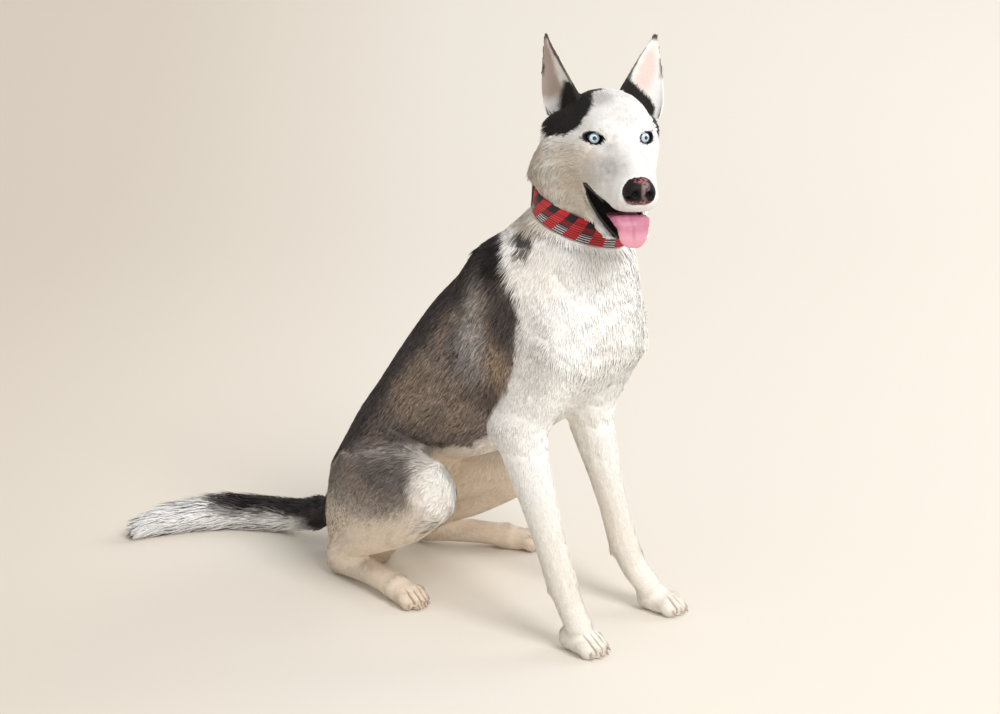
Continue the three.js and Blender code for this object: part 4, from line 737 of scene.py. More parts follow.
in_ear = ear_share(place)
depth = values[:, 0] * (1 - on_tail) * (1 - 0.75 * in_mouth)
swell(skin.data, -(depth * (1 - in_ear) + EAR_SWELL * in_ear)[:, None])
relax(skin, "settle", fine * (1 - on_tail), 6)
thin = skin.modifiers.new("thin", "DECIMATE")
thin.ratio = KEPT_SHARE
coarse = 1 - np.maximum.reduce([in_head, in_ear, low_paw(place)])
thin.vertex_group = weight_group(skin, "dense", coarse).name
thin.vertex_group_factor = 6
applied(skin)
# Grooves between the toes: a start, the way the foot points and the way across it
ANKLES = {
    "fore_right": None, "fore_left": None, "hind_right": (-400, -76, 0), "hind_left": (-400, 112, 0),
}
TOES = []
for foot, ankle in ANKLES.items():
    claws = np.array([middle(n) - SHIFT for n in nodes if n.startswith("claw_" + foot)])
    heading = unit([1, 0, 0] if ankle is None else claws.mean(0) * [1, 1, 0] - ankle)
    across = np.array([-heading[1], heading[0], 0])
    claws = claws[np.argsort(claws @ across)]
    TOES += [((a + b) / 2, heading, across) for a, b in zip(claws, claws[1:])]


def toe_groove(b):
    """Depth in mm of the grooves between the toes, at points b of the body."""
    deep = np.zeros(len(b))
    for start, heading, across in TOES:
        rel = b - start
        run = rel @ heading
        near = np.exp(-((rel @ across / 1.7) ** 2)) * ramp(run, -24, -6) * (1 - ramp(run, 10, 16))
        deep = np.maximum(deep, GROOVE * near * (np.abs(rel[:, 2]) < 32))
    return deep


swell(skin.data, -toe_groove(to_body(positions(skin.data)))[:, None])
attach(skin, "root")
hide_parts(*FLESH, "tail")


def hollows(mesh, rounds):
    """How far each vertex lies below the mean of its neighbourhood, in mm."""
    a, b = read(mesh.edges, "vertices", 2, np.int32).T
    start = p = positions(mesh) * 1000
    ends, others = np.concatenate([a, b]), np.concatenate([b, a])
    number = np.bincount(ends, minlength=len(p))[:, None]
    for _ in range(rounds):
        total = np.stack([np.bincount(ends, p[others, k], len(p)) for k in range(3)], 1)
        p = (p + total / number) / 2
    return ((p - start) * normals(mesh)).sum(1)


# Painted shade: the hollows of the paws and the grooves between the toes are painted darker, and a little
# warmer
WARMER = np.array([0.8, 1, 1.25])
place = to_body(positions(skin.data))
head_place = body_to_head(place)
skin_up = normals(skin.data)
skin_ear = ear_share(place)
paw_shade = hollows(skin.data, 12) * ramp(paw_share(place), 0, 0.5) * (place[:, 2] < 60)
paw_shade = 1 - 0.6 * np.maximum(ramp(paw_shade, 0.1, 1), ramp(toe_groove(place), 0.6, 2.6))
tint, _, _, in_mouth, lid = markings(place, skin_up, skin_ear)
paint(skin.data, np.clip(tint * 1.06, 0, 0.93) * paw_shade[:, None] ** WARMER)

# Coat: tufts scattered over the skin, each with a place in the skin's unwrap
rng = np.random.default_rng(11)
NOSE_MARGIN = 2.2
NECK_REACH = 85
MOST_TUFTS = 149400
MOST_IN_PIECE = 19800
UNWRAP_ANGLE = 66
SPOT_RADIUS = 0.0014
REARMOST = cad_lo[0] * 1000 - SHIFT[0] + 0.5
LOWEST = 0.7
bpy.context.view_layer.objects.active = skin
skin.select_set(True)
bpy.ops.object.mode_set(mode="EDIT")
bpy.ops.mesh.select_all(action="SELECT")
bpy.ops.uv.smart_project(angle_limit=math.radians(UNWRAP_ANGLE), island_margin=0.001, area_weight=0.5)
bpy.ops.object.mode_set(mode="OBJECT")
skin.select_set(False)


def corners(mesh):
    """Vertex numbers, loop numbers and areas of a mesh's triangles."""
    mesh.calc_loop_triangles()
    triangles = mesh.loop_triangles
    verts, loops = (read(triangles, field, 3, np.int32) for field in ("vertices", "loops"))
    return verts, loops, read(triangles, "area")[:, 0]


def scatter(mesh, per_cm2):
    """Roots spread over a mesh by a density at its vertices: triangle corners, shares and unwrap places."""
    verts, loops, areas = corners(mesh)
    total = np.cumsum(areas * 1e4 * per_cm2[verts].mean(1))
    count = int(total[-1])
    at = (np.arange(count) + rng.random(count)) * total[-1] / count
    pick = np.minimum(np.searchsorted(total, at), len(total) - 1)
    a, c = rng.random((2, count))
    a = np.sqrt(a)
    share = np.stack([1 - a, a * (1 - c), a * c], 1)
    unwrap = read(mesh.uv_layers[0].uv, "vector", 2)
    return verts[pick], share, (unwrap[loops[pick]] * share[:, :, None]).sum(1)


def lay(values):
    """Values at the skin's vertices, read at the scattered roots."""
    weight = shares if values.ndim == 1 else shares[:, :, None]
    return (values[root_verts] * weight).sum(1)


# One tuft: three corners at its root, three half way and a tip
TUFT_FACES = [(2, 1, 0), (0, 1, 4, 3), (1, 2, 5, 4), (2, 0, 3, 5), (3, 4, 6), (4, 5, 6), (5, 3, 6)]
TUFT_CORNERS = np.concatenate(TUFT_FACES)
TUFT_STARTS = np.cumsum([0] + [len(f) for f in TUFT_FACES[:-1]])

# How light each point of a tuft is, how deep its root sits in mm, and shares of its width
TUFT_SHADE = np.array([0.94, 0.94, 0.96, 0.99, 0.99, 1.0, 1.04])
ROOT_DEPTH = 0.7
HALF_FOOT, HALF_BEND, CROWN = 0.42, 0.5, 0.15


def tuft_mesh(name, root, up, lie, size, colour, places):
    """A mesh of tufts, closed and tapered. Size holds length, width and lift."""
    n = len(root)
    length, width, lift = size.T[:, :, None]
    side = np.cross(up, lie)
    steep, shallow = np.radians(lift * 1.35), np.radians(lift * (-0.6 + 0.95 * ramp(length, 7, 15)))
    bend = root + 0.5 * length * (lie * np.cos(steep) + up * np.sin(steep))
    tip = bend + 0.5 * length * (lie * np.cos(shallow) + up * np.sin(shallow))
    foot = root - up * ROOT_DEPTH
    crown = up * width * CROWN
    narrow, wide = side * width * HALF_FOOT, side * width * HALF_BEND
    points = [foot - narrow, foot + narrow, foot + crown, bend - wide, bend + wide, bend + crown, tip]
    points = np.stack(points, 1)
    points[:, :, 2] = np.maximum(points[:, :, 2], LOWEST)
    points[:, :, 0] = np.maximum(points[:, :, 0], REARMOST)
    mesh = bpy.data.meshes.new(name)
    mesh.vertices.add(n * 7)
    mesh.vertices.foreach_set("co", to_row(points.reshape(-1, 3)).astype(np.float32).ravel())
    mesh.loops.add(n * len(TUFT_CORNERS))
    tuft = np.arange(n)[:, None]
    mesh.loops.foreach_set("vertex_index", (tuft * 7 + TUFT_CORNERS).ravel().astype(np.int32))
    mesh.polygons.add(n * len(TUFT_FACES))
    starts = tuft * len(TUFT_CORNERS) + TUFT_STARTS
    mesh.polygons.foreach_set("loop_start", starts.ravel().astype(np.int32))
    mesh.update(calc_edges=True)
    ring = np.arange(7) / 7 * 2 * math.pi
    spot = SPOT_RADIUS * np.stack([np.cos(ring), np.sin(ring)], 1)
    uv = mesh.uv_layers.new(name="OFBake")
    flat = (places[:, None, :] + spot[TUFT_CORNERS]).reshape(-1, 2)
    uv.uv.foreach_set("vector", np.clip(flat, 0.001, 0.999).astype(np.float32).ravel())
    paint(mesh, np.clip(colour[:, None, :] * TUFT_SHADE[:, None], 0.003, 0.97).reshape(-1, 3))
    obj = link(name, mesh)
    left, right = up - side * 0.3, up + side * 0.3
    soft = np.stack([left, right, up, left, right, up, up + lie * 0.25], 1)
    mesh.normals_split_custom_set_from_vertices(unit(soft).reshape(-1, 3).tolist())
    return obj


# Bare places: mouth, nose, lids, soles, ear edges and the band under the collar
BAND_HALF = 12.5
COLLAR_TILT = math.radians(18)
COLLAR_UP = np.array([math.sin(COLLAR_TILT), 0, math.cos(COLLAR_TILT)])
COLLAR_AHEAD = np.array([math.cos(COLLAR_TILT), 0, -math.sin(COLLAR_TILT)])
COLLAR_CENTRE = np.array([-76, 15, 560.0])


def by_collar(b):
    """Height above the middle of the collar and distance from it, at points b of the body."""
    away = b - COLLAR_CENTRE
    return away @ COLLAR_UP, np.linalg.norm(away, axis=1)


values, flow, on_tail = coat_values(place)
near_head = np.where(head_place[:, 0] > 60)[0]
in_nose = np.zeros(len(place), bool)
in_nose[near_head] = distance(NOSE_TREE, to_row(place[near_head])) < NOSE_MARGIN
above, away = by_collar(place)
under_collar = (np.abs(above) < BAND_HALF) & (away < NECK_REACH)
sole = (place[:, 2] < 3) & (skin_up[:, 2] < -0.4)
bare = in_mouth | in_nose | under_collar | sole | (lid < 1.22)
for side in (-1, 1):
    up, wide, _ = ear_places(head_place, side)
    edge = (np.abs(wide) > 0.8) & (up > 0) & (up < 0.88)
    bare |= edge & (skin_ear > 0.8) & (head_place[:, 1] * side > 0)
per_cm2 = values[:, 4] * ~bare
verts, _, areas = corners(skin.data)
per_cm2 *= min(1, MOST_TUFTS / (areas * 1e4 * per_cm2[verts].mean(1)).sum())
root_verts, shares, places = scatter(skin.data, per_cm2)
root = lay(place)
up = unit(lay(skin_up))
size = lay(values[:, 1:4])
ear = lay(skin_ear)
lie = lay(flow)
lie = unit(lie - up * (lie * up).sum(1, keepdims=True))
count = len(root)
swing = grain(root, 16, 21) * 0.2 + grain(root, 6, 22) * 0.12 + rng.normal(0, 0.09, count)
lie = lie * np.cos(swing)[:, None] + np.cross(up, lie) * np.sin(swing)[:, None]
colour, spread, streak, _, _ = markings(root, up, ear)
tone = 1 + spread * (0.9 * rng.normal(0, 1, count) + 0.5 * streak)
# the tufts on the paws carry the same painted shade of the hollows
colour = colour * np.clip(tone, 0.3, 2.2)[:, None] * lay(paw_shade)[:, None] ** WARMER
size[:, 0] *= rng.uniform(0.75, 1.2, count)
size[:, 1] *= rng.uniform(0.75, 1.25, count)
size[:, 2] *= rng.uniform(0.75, 1.2, count) * (1 - 0.2 * ramp(size[:, 0], 8, 14))
size[:, 0] *= 1 - ear * (0.4 + 0.3 * ramp(body_to_head(root)[:, 2], 96, 112))
size[:, 2] *= 1 - 0.5 * ear
# shorter hair just above the collar, so that it stays clear of the band
above, away = by_collar(root)
shorter = (above > 0) & (above < BAND_HALF + size[:, 0]) & (away < NECK_REACH + 5)
size[shorter, 0] *= 0.6

# One region of the coat for each zone, in the order of the zones
REGIONS = ["back"] * 3 + ["flanks"] * 2 + ["chest"] * 3 + ["belly"] + ["neck"] * 4 + ["upper_arms"] * 2
REGIONS += ["forelegs"] * 2 + ["forepaws"] * 2 + ["thighs"] * 6 + ["hind_feet"] * 2
REGIONS += ["head"] * (len(ZONES) - len(REGIONS))
names = sorted(set(REGIONS)) + ["tail"]
label = np.array([names.index(r) for r in REGIONS])[zone_weights(root).argmax(1)]
label[lay(on_tail) > 0.5] = len(names) - 1
coat = []
for k, name in enumerate(names):
    members = np.where(label == k)[0]
    parts = math.ceil(len(members) / MOST_IN_PIECE)
    for part in range(parts):
        m = members[part::parts]
        piece = tuft_mesh(f"coat_{name}_{part + 1}", root[m], up[m], lie[m], size[m], colour[m], places[m])
        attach(piece, "root")
        coat.append(piece)


# Head pieces
def banded(name, loops):
    """A surface through closed loops of points of the same length, in mm of the body frame."""
    loops = np.array(loops)
    rows, n = loops.shape[:2]
    k = np.arange(rows * n).reshape(rows, n)
    across = np.roll(k, -1, axis=1)
    quads = np.stack([k[:-1], across[:-1], across[1:], k[1:]], -1).reshape(-1, 4)
    mesh = bpy.data.meshes.new(name)
    mesh.from_pydata(to_row(loops.reshape(-1, 3)).tolist(), [], quads.tolist())
    return link(name, mesh)


def tube(name, path, radii, sides=10):
    """A closed tube of varying radius along points in mm of the body frame."""
    ahead = unit(np.gradient(path, axis=0))
    right = unit(np.cross(ahead, [0, 0, 1]))
    over = np.cross(right, ahead)
    angles = np.arange(sides)[:, None] / sides * 2 * math.pi
    circle = np.cos(angles), np.sin(angles)
    loops = [c + r * (circle[0] * x + circle[1] * y) for c, x, y, r in zip(path, right, over, radii)]
    obj = banded(name, [np.repeat(path[:1], sides, 0), *loops, np.repeat(path[-1:], sides, 0)])
    bm = bmesh.new()
    bm.from_mesh(obj.data)
    bmesh.ops.remove_doubles(bm, verts=bm.verts, dist=1e-6)
    bmesh.ops.recalc_face_normals(bm, faces=bm.faces)
    for face in bm.faces:
        face.smooth = True
    baked(bm, obj.data)
    return obj


def attribute(mesh, name, vectors):
    layer = mesh.attributes.new(name, "FLOAT_VECTOR", "POINT")
    layer.data.foreach_set("vector", np.ascontiguousarray(vectors, np.float32).ravel())


def subdivided(obj, levels):
    m = obj.modifiers.new("subdivide", "SUBSURF")
    m.levels = m.render_levels = levels
    return applied(obj)


def smooth_copy(name, member, voxel, rounds):
    """A fine smooth copy of a CAD node, with its points in the head's frame."""
    obj = merged_copy(name, [member])
    remesh(obj, voxel * MM)
    relax(obj, "even", np.ones(len(obj.data.vertices)), rounds)
    applied(obj)
    return obj, body_to_head(to_body(positions(obj.data)))


def settle_piece(piece, slot, *members):
    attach(piece, "root")
    if members:
        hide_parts(*members)


# Eyes
CORNEA = 0.035
PROBE_FROM = 40
BALL_RADIUS = EYE_RADIUS - 0.4
GAZE = {-1: math.radians(-9), 1: math.radians(21)}


def eyeball(name, side):
    bm = bmesh.new()
    bmesh.ops.create_uvsphere(bm, u_segments=48, v_segments=32, radius=1)
    mesh = baked(bm, name)
    p = positions(mesh)
    p = p * BALL_RADIUS * (1 + CORNEA * ramp(p[:, 2:], 0.78, 1))
    attribute(mesh, "eye", p)
    gaze = unit([math.cos(GAZE[side]), math.sin(GAZE[side]), 0.02])
    across = unit(np.cross([0, 0, 1], gaze))
    h = EYE_CENTRE * [1, side, 1] + p @ np.array([across, np.cross(gaze, across), gaze])
    set_positions(mesh, to_row(head_to_body(h)))
    return link(name, mesh)


def lid_loop(side, more, count=56):
    """Points across the gaze on the edge of the lids, made wider by the given length."""
    a = np.arange(count) / count * 2 * math.pi
    x = np.cos(a) * (LID_WIDTH + more) / 2
    sharp = np.sin(a) * np.sqrt(np.abs(np.sin(a)) * 0.35 + 0.65)
    y = sharp * (LID_HEIGHT + more) / 2 * (1 - 0.12 * np.cos(a) * side)
    t = LID_TILT * side
    return x * math.cos(t) - y * math.sin(t), x * math.sin(t) + y * math.cos(t)


# Lids: wider by, over the ball by, share on the skin, over the skin by, darkness
LID_ROWS = [
    (-2.8, -0.5, 0, 0, 1), (-2, 0.3, 0, 0, 1), (-0.8, 0.8, 0, 0, 1), (1, 0.8, 0.3, 0.6, 1),
    (2.6, 0, 1, 0.6, 1), (4, 0, 1, 0.2, 0.9), (6, 0, 1, -0.9, 0.3),
]


def lids(name, side):
    """Black rims that rest on the ball and run out into the skin."""
    centre, gaze, across, up = eye_frame(side)
    loops, tones = [], []
    for more, over_ball, on_skin, over_skin, dark in LID_ROWS:
        x, y = lid_loop(side, more)
        flat = across * x[:, None] + up * y[:, None]
        ball = np.sqrt(np.maximum(BALL_RADIUS**2 - x**2 - y**2, 12)) + over_ball
        depth = []
        for p in flat:
            start = to_row(head_to_body(centre + gaze * PROBE_FROM + p))
            gap = SKIN_TREE.ray_cast(Vector(start), Vector(-(HEAD_AXES @ gaze)), 0.06)[3]
            depth.append(6 if gap is None else PROBE_FROM - gap / MM)
        depth = (np.array(depth) + np.roll(depth, 1) + np.roll(depth, -1)) / 3 + over_skin
        z = ball * (1 - on_skin) + depth * on_skin
        loops.append(head_to_body(centre + flat + gaze * z[:, None]))
        tones.append(np.full(len(x), dark))
    obj = banded(name, loops)
    paint(obj.data, mix(WHITE, BLACK, np.concatenate(tones)))
    subdivided(obj, 1)
    return obj


SKIN_TREE = BVHTree.FromObject(skin, bpy.context.evaluated_depsgraph_get())
eyes, rims = [], []
for side, word in SIDES:
    eyes.append(eyeball("eyeball_" + word, side))
    settle_piece(eyes[-1], "eye", "eye_" + word)
    rims.append(lids("lids_" + word, side))
    settle_piece(rims[-1], "nose_leather")

# Nose
nose, _ = smooth_copy("nose_leather", "nose", 0.7, 24)
swell(nose.data, 0.3)
settle_piece(nose, "nose_leather", "nose")
h = body_to_head(to_body(positions(nose.data)))
speck = grain(h, 2.6, 31) + 0.6 * grain(h, 1.3, 32)
strip = blob(h, (100, 4.5, -51), (14, 5, 15), 0.4) * ramp(0.8 + speck, 0, 0.7)
top = ramp(h[:, 2], -45, -41) * ramp(speck, -0.1, 0.4) * ramp(-np.abs(h[:, 1] - 3), -15, -8)
low = ramp(-h[:, 2], 64, 67.5) * ramp(speck, -0.3, 0.2)
rgb = mix(BLACK, linear((150, 128, 130)), 0.85 * strip)
rgb = mix(rgb, linear((178, 104, 104)), 0.85 * top)
rgb = mix(rgb, linear((196, 122, 122)), 0.85 * low)
# painted shade: the nostrils and the area around them are painted darker than the black leather
for side in (-1, 1):
    rgb = mix(rgb, linear((8, 6, 7)), blob(h, (100, 9.5 * side + 1, -58), (16, 7, 6.5), 0.4))
paint(nose.data, rgb)

# Lips: soft black edges of the open mouth, notched along the lower one
LOWER_LIP = [
    (1, -42, -63), (2.5, -40.5, -69), (7.5, -37.5, -77.5), (12, -34.5, -84), (16, -32, -89.5),
    (21, -29.5, -94.5), (28, -27, -99), (35, -24.5, -103.5), (44, -22, -108), (55, -19, -112.5),
    (65, -16, -116), (71, -9, -119), (73, 0, -120),
]
UPPER_LIP = [
    (-4, -44, -58), (8, -43.5, -57.5), (21, -41.5, -61), (37, -37, -67), (46, -35.5, -70.5), (54, -33, -74),
]


def lip(name, line, radius, notch, side):
    rows = np.array(line, float) * [1, 1 if side < 0 else -NARROWER_LEFT, 1]
    path = curve_point(rows, np.linspace(0, 1, 150))
    run = np.concatenate([[0], np.cumsum(np.linalg.norm(np.diff(path, axis=0), axis=1))])
    ends = np.minimum(1, np.minimum(run, run[-1] - run) / 9 + 0.25)
    ends = ends * (1 - 0.6 * ramp(path[:, 0], 30, 54) * (notch < 0.1))
    radii = radius * ends * (1 + notch * np.sin(run * 2 * math.pi / 5.2) * (0.6 + 0.4 * np.sin(run * 0.9)))
    return tube(name, head_to_body(path), radii)


lips = []
for side, word in SIDES:
    lips.append(lip("lower_lip_" + word, LOWER_LIP, 2.3, 0.22, side))
    lips.append(lip("upper_lip_" + word, UPPER_LIP, 1.3, 0.05, side))
for piece in lips:
    settle_piece(piece, "nose_leather")

# Tongue: pink, with painted shade under the upper lip, in the middle groove, at the back of the mouth and
# along the folded edge, and a paler grain
tongue, h = smooth_copy("tongue_soft", "tongue", 1.0, 4)
settle_piece(tongue, "tongue", "tongue")
off = h[:, 1] - np.interp(h[:, 2], [-126, -104, -90], [-2, -4, -6])
rgb = linear((226, 158, 178))
for shade, share in (
    ((188, 112, 138), 0.85 * ramp(h[:, 2], -114, -98)),
    ((176, 96, 122), 0.7 * np.exp(-((off / 2.2) ** 2)) * ramp(h[:, 2], -122, -104)),
    ((130, 66, 84), 0.8 * ramp(-h[:, 0], -72, -52)),
    ((160, 82, 108), 0.7 * ramp(-off, 15, 20) * ramp(h[:, 2], -108, -100)),
    ((236, 184, 200), 0.15 * ramp(grain(h, 5, 33), 0, 0.8)),
):
    rgb = mix(rgb, linear(shade), share)
paint(tongue.data, rgb)

# Claws
CLAWS = [n for n in nodes if n.startswith("claw")]
claws = merged_copy("claws", CLAWS)
subdivided(claws, 2)
settle_piece(claws, "claw", *CLAWS)

# Collar: woven webbing fitted to the CAD band, which is probed at three heights
SEAM_ANGLE = -156.0
PROBES = (-11, 0, 11)
WELL_OUT = 150
COLLAR_TREE = tree_of(["collar"])


def band_radius(angle, high):
    """Way out from the middle of the neck at an angle, and the distance to the CAD band."""
    way = COLLAR_AHEAD * math.cos(angle) + np.array([0, math.sin(angle), 0])
    start = to_row(COLLAR_CENTRE + way * WELL_OUT + COLLAR_UP * high)
    return way, WELL_OUT - COLLAR_TREE.ray_cast(Vector(start), Vector(-way), 0.2)[3] / MM


def band(name, angles, profile):
    """A band round the neck through angles, with a profile of heights and offsets from the CAD band."""
    loops, marks = [], []
    run, last = 0, None
    for a in angles:
        (_, low), (way, mid), (_, high) = (band_radius(a, k) for k in PROBES)
        here = COLLAR_CENTRE + way * mid
        run += 0 if last is None else np.linalg.norm(here - last)
        last = here
        radii = [low, (low + mid + high) / 3, high]
        loops.append([])
        for k, out in profile:
            radius = np.interp(k, PROBES, radii) + out
            loops[-1].append(COLLAR_CENTRE + way * radius + COLLAR_UP * k)
            marks.append((run, k, out))
    obj = banded(name, loops)
    attribute(obj.data, "web", marks)
    return obj


# Profiles of the band and its keeper: height and offset
half = BAND_HALF
PROFILE = [(-half, -2.6), (-half, -1.1), (-half + 0.5, -0.3), (-half + 1.4, 0)]
PROFILE += [(-8, 0.05), (-4, 0.1), (0, 0.1), (4, 0.1), (8, 0.05), (half - 1.4, 0)]
PROFILE += [(half - 0.5, -0.3), (half, -1.1), (half, -2.6), (0, -3.2)]
turns = np.radians(SEAM_ANGLE + np.linspace(0.01, 359.99, 181))
collar = band("collar_webbing", turns, PROFILE)
settle_piece(collar, "collar_webbing", "collar")
keeper_turn = np.radians(SEAM_ANGLE + np.linspace(-4, 4, 9))
keeper_profile = [(-half - 1.4, -2.8), (-half - 1.4, 0.6), (-half, 1.6), (0, 1.8), (half, 1.6)]
keeper_profile += [(half + 1.4, 0.6), (half + 1.4, -2.8), (0, -3.4)]
keeper = band("collar_keeper", keeper_turn, keeper_profile)
bm = bmesh.new()
bm.from_mesh(keeper.data)
bmesh.ops.holes_fill(bm, edges=[e for e in bm.edges if e.is_boundary])
bmesh.ops.recalc_face_normals(bm, faces=bm.faces)
baked(bm, keeper.data)
settle_piece(keeper, "collar_webbing")

# Backdrop: level near the dog, then bending up behind it
SWEEP_START, SWEEP_REACH, SWEEP = 2.2, 4.0, 0.16
bm = bmesh.new()
bmesh.ops.create_grid(bm, x_segments=60, y_segments=60, size=14)
for v in bm.verts:
    ahead = -(v.co.x * back[0] + v.co.y * back[1]) / math.hypot(back[0], back[1])
    rise = max(0.0, ahead - SWEEP_START)
    bent = min(rise, SWEEP_REACH)
    v.co.z = SWEEP * bent**2 + 2 * SWEEP * SWEEP_REACH * (rise - bent)
floor = link("floor", baked(bm, "floor"))


class Look:
    """A material for some pieces. A tuple stands for a colour in sRGB, and a socket for a link."""

    def __init__(self, name, pieces, colour=None, **inputs):
        material = bpy.data.materials.new(name)
        material.use_nodes = True
        self.tree = material.node_tree
        self.shader = self.tree.nodes["Principled BSDF"]
        for key, value in inputs.items():
            self.shader.inputs[key.replace("_", " ")].default_value = value
        self.colour(colour or self.attribute("tint", "Color"))
        for piece in pieces:
            piece.data.materials.clear()
            piece.data.materials.append(material)

    def node(self, kind, **settings):
        made = self.tree.nodes.new("ShaderNode" + kind)
        for key, value in settings.items():
            setattr(made, key, value)
        return made

    def feed(self, socket, value):
        if isinstance(value, tuple):
            socket.default_value = (*linear(value), 1)
        elif isinstance(value, (int, float)):
            socket.default_value = value
        else:
            self.tree.links.new(value, socket)

    def colour(self, value):
        self.feed(self.shader.inputs["Base Color"], value)

    def attribute(self, name, output="Vector"):
        return self.node("Attribute", attribute_name=name).outputs[output]

    def place(self):
        return self.node("TexCoord").outputs["Object"]

    def parts(self, vector):
        made = self.node("SeparateXYZ")
        self.feed(made.inputs[0], vector)
        return made.outputs[0], made.outputs[1]

    def texture(self, kind, scale, vector=None):
        made = self.node("Tex" + kind)
        self.feed(made.inputs["Scale"], scale)
        self.feed(made.inputs["Vector"], vector or self.place())
        return made.outputs["Distance" if kind == "Voronoi" else "Fac"]

    def maths(self, operation, *values):
        made = self.node("Math", operation=operation)
        for socket, value in zip(made.inputs, values):
            self.feed(socket, value)
        return made.outputs[0]

    def squares(self, x, y):
        return self.maths("ADD", self.maths("MULTIPLY", x, x), self.maths("MULTIPLY", y, y))

    def stripes(self, along, repeat, share):
        """1 on the part of each repeat beyond the given share."""
        return self.maths("GREATER_THAN", self.maths("FRACT", self.maths("DIVIDE", along, repeat)), share)

    def blend(self, share, first, second):
        made = self.node("Mix", data_type="RGBA")
        for k, value in ((0, share), (6, first), (7, second)):
            self.feed(made.inputs[k], value)
        return made.outputs[2]

    def bump(self, height, strength, distance_mm):
        made = self.node("Bump")
        for key, value in (("Strength", strength), ("Distance", distance_mm * MM), ("Height", height)):
            self.feed(made.inputs[key], value)
        self.tree.links.new(made.outputs["Normal"], self.shader.inputs["Normal"])


# Looks with one texture that only roughens them: its kind, its scale, strength and depth in mm
TONGUE_LOOK = Look("tongue", [tongue], Roughness=0.55, Coat_Weight=0.08, Coat_Roughness=0.15)
for look, kind, scale, *relief in (
    (Look("undercoat", [skin], Roughness=0.85), "Noise", 900, 0.3, 0.4),
    (Look("nose_leather", [nose], Roughness=0.55, Specular_IOR_Level=0.18), "Voronoi", 620, 0.5, 0.5),
    (Look("lip", lips, (24, 18, 20), Roughness=0.38, Coat_Weight=0.3), "Noise", 500, 0.4, 0.4),
    (TONGUE_LOOK, "Voronoi", 900, 0.3, 0.3),
    (Look("keeper", [keeper], (22, 20, 22), Roughness=0.4), "Noise", 300, 0.2, 0.2),
):
    look.bump(look.texture(kind, scale), *relief)
Look("coat", coat, Roughness=0.62, Specular_IOR_Level=0.25)
Look("lid_rim", rims, Roughness=0.45, Coat_Weight=0.2, Coat_Roughness=0.15)

# Eye: pupil, pale blue iris with fine spokes, dark ring and a painted catchlight, a white painted highlight
# of the given place and radius
PAINTED_GLINT = (2.1, 2.3, 0.9)
IRIS = [
    (0.0, (10, 16, 34)), (0.22, (14, 26, 50)), (0.26, (120, 164, 200)), (0.32, (204, 229, 242)),
    (0.54, (220, 238, 247)), (0.61, (160, 194, 218)), (0.66, (40, 50, 68)), (0.72, (22, 22, 28)),
    (0.95, (30, 28, 32)),
]
look = Look("eye", eyes, Roughness=0.12, Coat_Weight=1.0, Coat_Roughness=0.02)
x, y = look.parts(look.attribute("eye"))
radius = look.maths("SQRT", look.squares(x, y))
around = look.node("CombineXYZ")
look.feed(around.inputs[0], look.maths("MULTIPLY", look.maths("ARCTAN2", y, x), 7.0))
look.feed(around.inputs[1], look.maths("MULTIPLY", radius, 0.35))
spokes = look.maths("SUBTRACT", look.texture("Noise", 1.0, around.outputs[0]), 0.5)
reach = look.maths("ADD", radius, look.maths("MULTIPLY", spokes, 1.3))
iris = look.node("ValToRGB")
stops = iris.color_ramp.elements
for k, (at, rgb) in enumerate(IRIS):
    stop = stops[k] if k < 2 else stops.new(at)
    stop.position = at
    stop.color = (*linear(rgb), 1)
look.feed(iris.inputs[0], look.maths("DIVIDE", reach, 10.0))
# painted highlight: a white disc stands for the reflection of a light
aside, above = look.maths("SUBTRACT", x, PAINTED_GLINT[0]), look.maths("SUBTRACT", y, PAINTED_GLINT[1])
painted_glint = look.maths("LESS_THAN", look.squares(aside, above), PAINTED_GLINT[2] ** 2)
look.colour(look.blend(painted_glint, iris.outputs["Color"], (255, 255, 255)))

look = Look("claw", [claws], Roughness=0.35)
look.colour(look.blend(look.texture("Noise", 260), (150, 118, 104), (226, 206, 190)))

# Webbing: dark bars across red, thin lines along the lower part and a fine weave, in mm along and up
BAR_REPEAT, BAR_SLANT, BAR_SHARE = 32.0, -0.45, 0.52
LINE_REPEAT, LINE_SHARE, LINES_TO, PALE_TO = 2.4, 0.6, 7.0, -3.0
STRIPE_MIDDLE, STRIPE_HALF = 1.5, 3.0
THREAD = 1.1
look = Look("woven_plaid", [collar], Roughness=0.75, Sheen_Weight=0.2)
run, high = look.parts(look.attribute("web"))
bar = look.stripes(look.maths("ADD", run, look.maths("MULTIPLY", high, BAR_SLANT)), BAR_REPEAT, BAR_SHARE)
line = look.stripes(high, LINE_REPEAT, LINE_SHARE)
red_line = look.maths("MULTIPLY", line, look.maths("LESS_THAN", high, LINES_TO))
pale_line = look.maths("MULTIPLY", line, look.maths("LESS_THAN", high, PALE_TO))
off_stripe = look.maths("ABSOLUTE", look.maths("SUBTRACT", high, STRIPE_MIDDLE))
stripe = look.maths("LESS_THAN", off_stripe, STRIPE_HALF)
red = look.blend(red_line, look.blend(stripe, (210, 34, 42), (230, 58, 56)), (92, 18, 26))
dark = look.blend(pale_line, look.blend(stripe, (30, 22, 28), (122, 22, 34)), (214, 206, 206))
look.colour(look.blend(bar, red, dark))
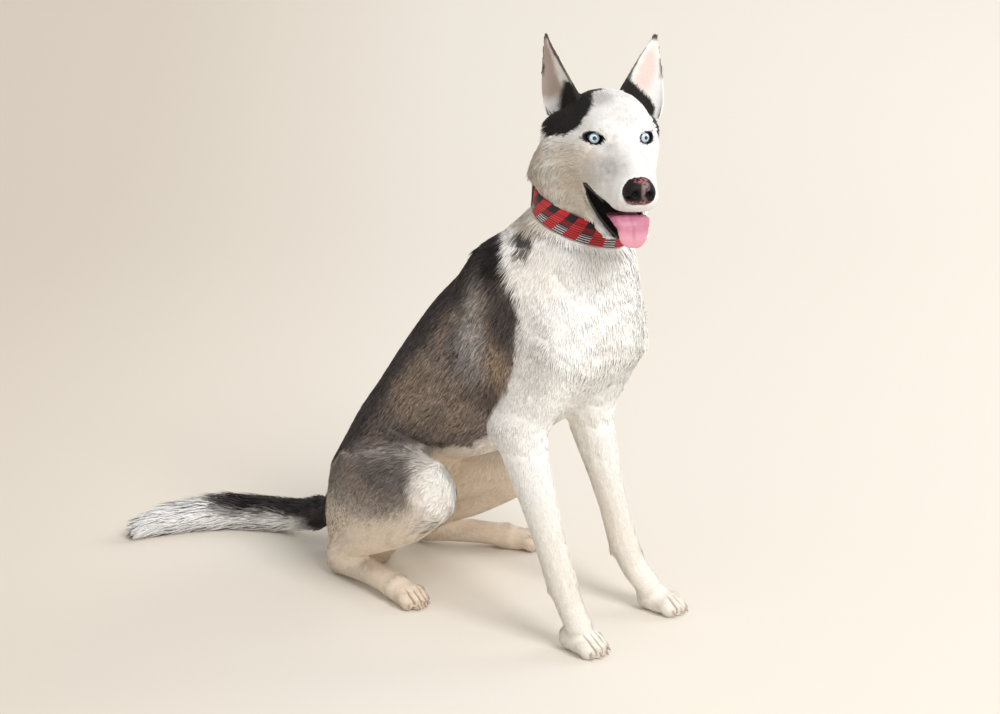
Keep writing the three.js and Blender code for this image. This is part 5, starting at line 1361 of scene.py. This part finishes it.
waves = [look.maths("SINE", look.maths("MULTIPLY", along, 2 * math.pi / THREAD)) for along in (run, high)]
look.bump(look.maths("MULTIPLY", *waves), 0.5, 0.25)

# Backdrop paper with painted shade: a little darker towards the left as the camera sees it, over the given
# width in m
RIGHTWARD = (0.794, 0.607)
SHADE_FROM, SHADE_WIDTH = -1.0, 0.85
look = Look("floor_paper", [floor], Roughness=0.9, Specular_IOR_Level=0.1)
along_x, along_y = (look.maths("MULTIPLY", p, k) for p, k in zip(look.parts(look.place()), RIGHTWARD))
start = float(to_row([AIM[0], 0, 0])[:2] @ RIGHTWARD) + SHADE_FROM
# painted shade across the paper, from darker on the left to its own colour on the right
left_shade = look.node("Clamp")
off = look.maths("SUBTRACT", look.maths("ADD", along_x, along_y), start)
look.feed(left_shade.inputs["Value"], look.maths("DIVIDE", off, SHADE_WIDTH))
look.colour(look.blend(left_shade.outputs[0], (224, 215, 203), (236, 231, 222)))

# Lights: name, place and aim from the middle of the dog in m, size in m, power in W, colour
middle_of_dog = np.array(to_row([-200, 0, 350]))
for name, offset, aim, size, power, colour in (
    ("key", [5.3, -1.8, 4.9], [0, 0, 0], (2.8, 2.8), 330, (1.0, 0.99, 0.98)),
    ("side", [1.6, 3.4, 1.9], [-1.2, 0.8, 0.6], (2.5, 2.0), 40, (1.0, 0.99, 0.98)),
    ("rim", [-1.0, 3.2, 2.6], [0, 0, 0], (2.6, 2.6), 10, (1.0, 1.0, 1.0)),
):
    light = bpy.data.lights.new(name, "AREA")
    light.shape = "RECTANGLE"
    light.size, light.size_y = size
    light.energy = power
    light.color = colour
    lamp = bpy.data.objects.new(name, light)
    scene.collection.objects.link(lamp)
    lamp.location = Vector(middle_of_dog + offset)
    lamp.rotation_euler = Vector(np.subtract(offset, aim)).to_track_quat("Z", "Y").to_euler()
world = bpy.data.worlds.new("studio")
scene.world = world
world.use_nodes = True
surroundings = world.node_tree.nodes["Background"].inputs
surroundings["Color"].default_value = (*linear((244, 241, 237)), 1)
surroundings["Strength"].default_value = 0.7
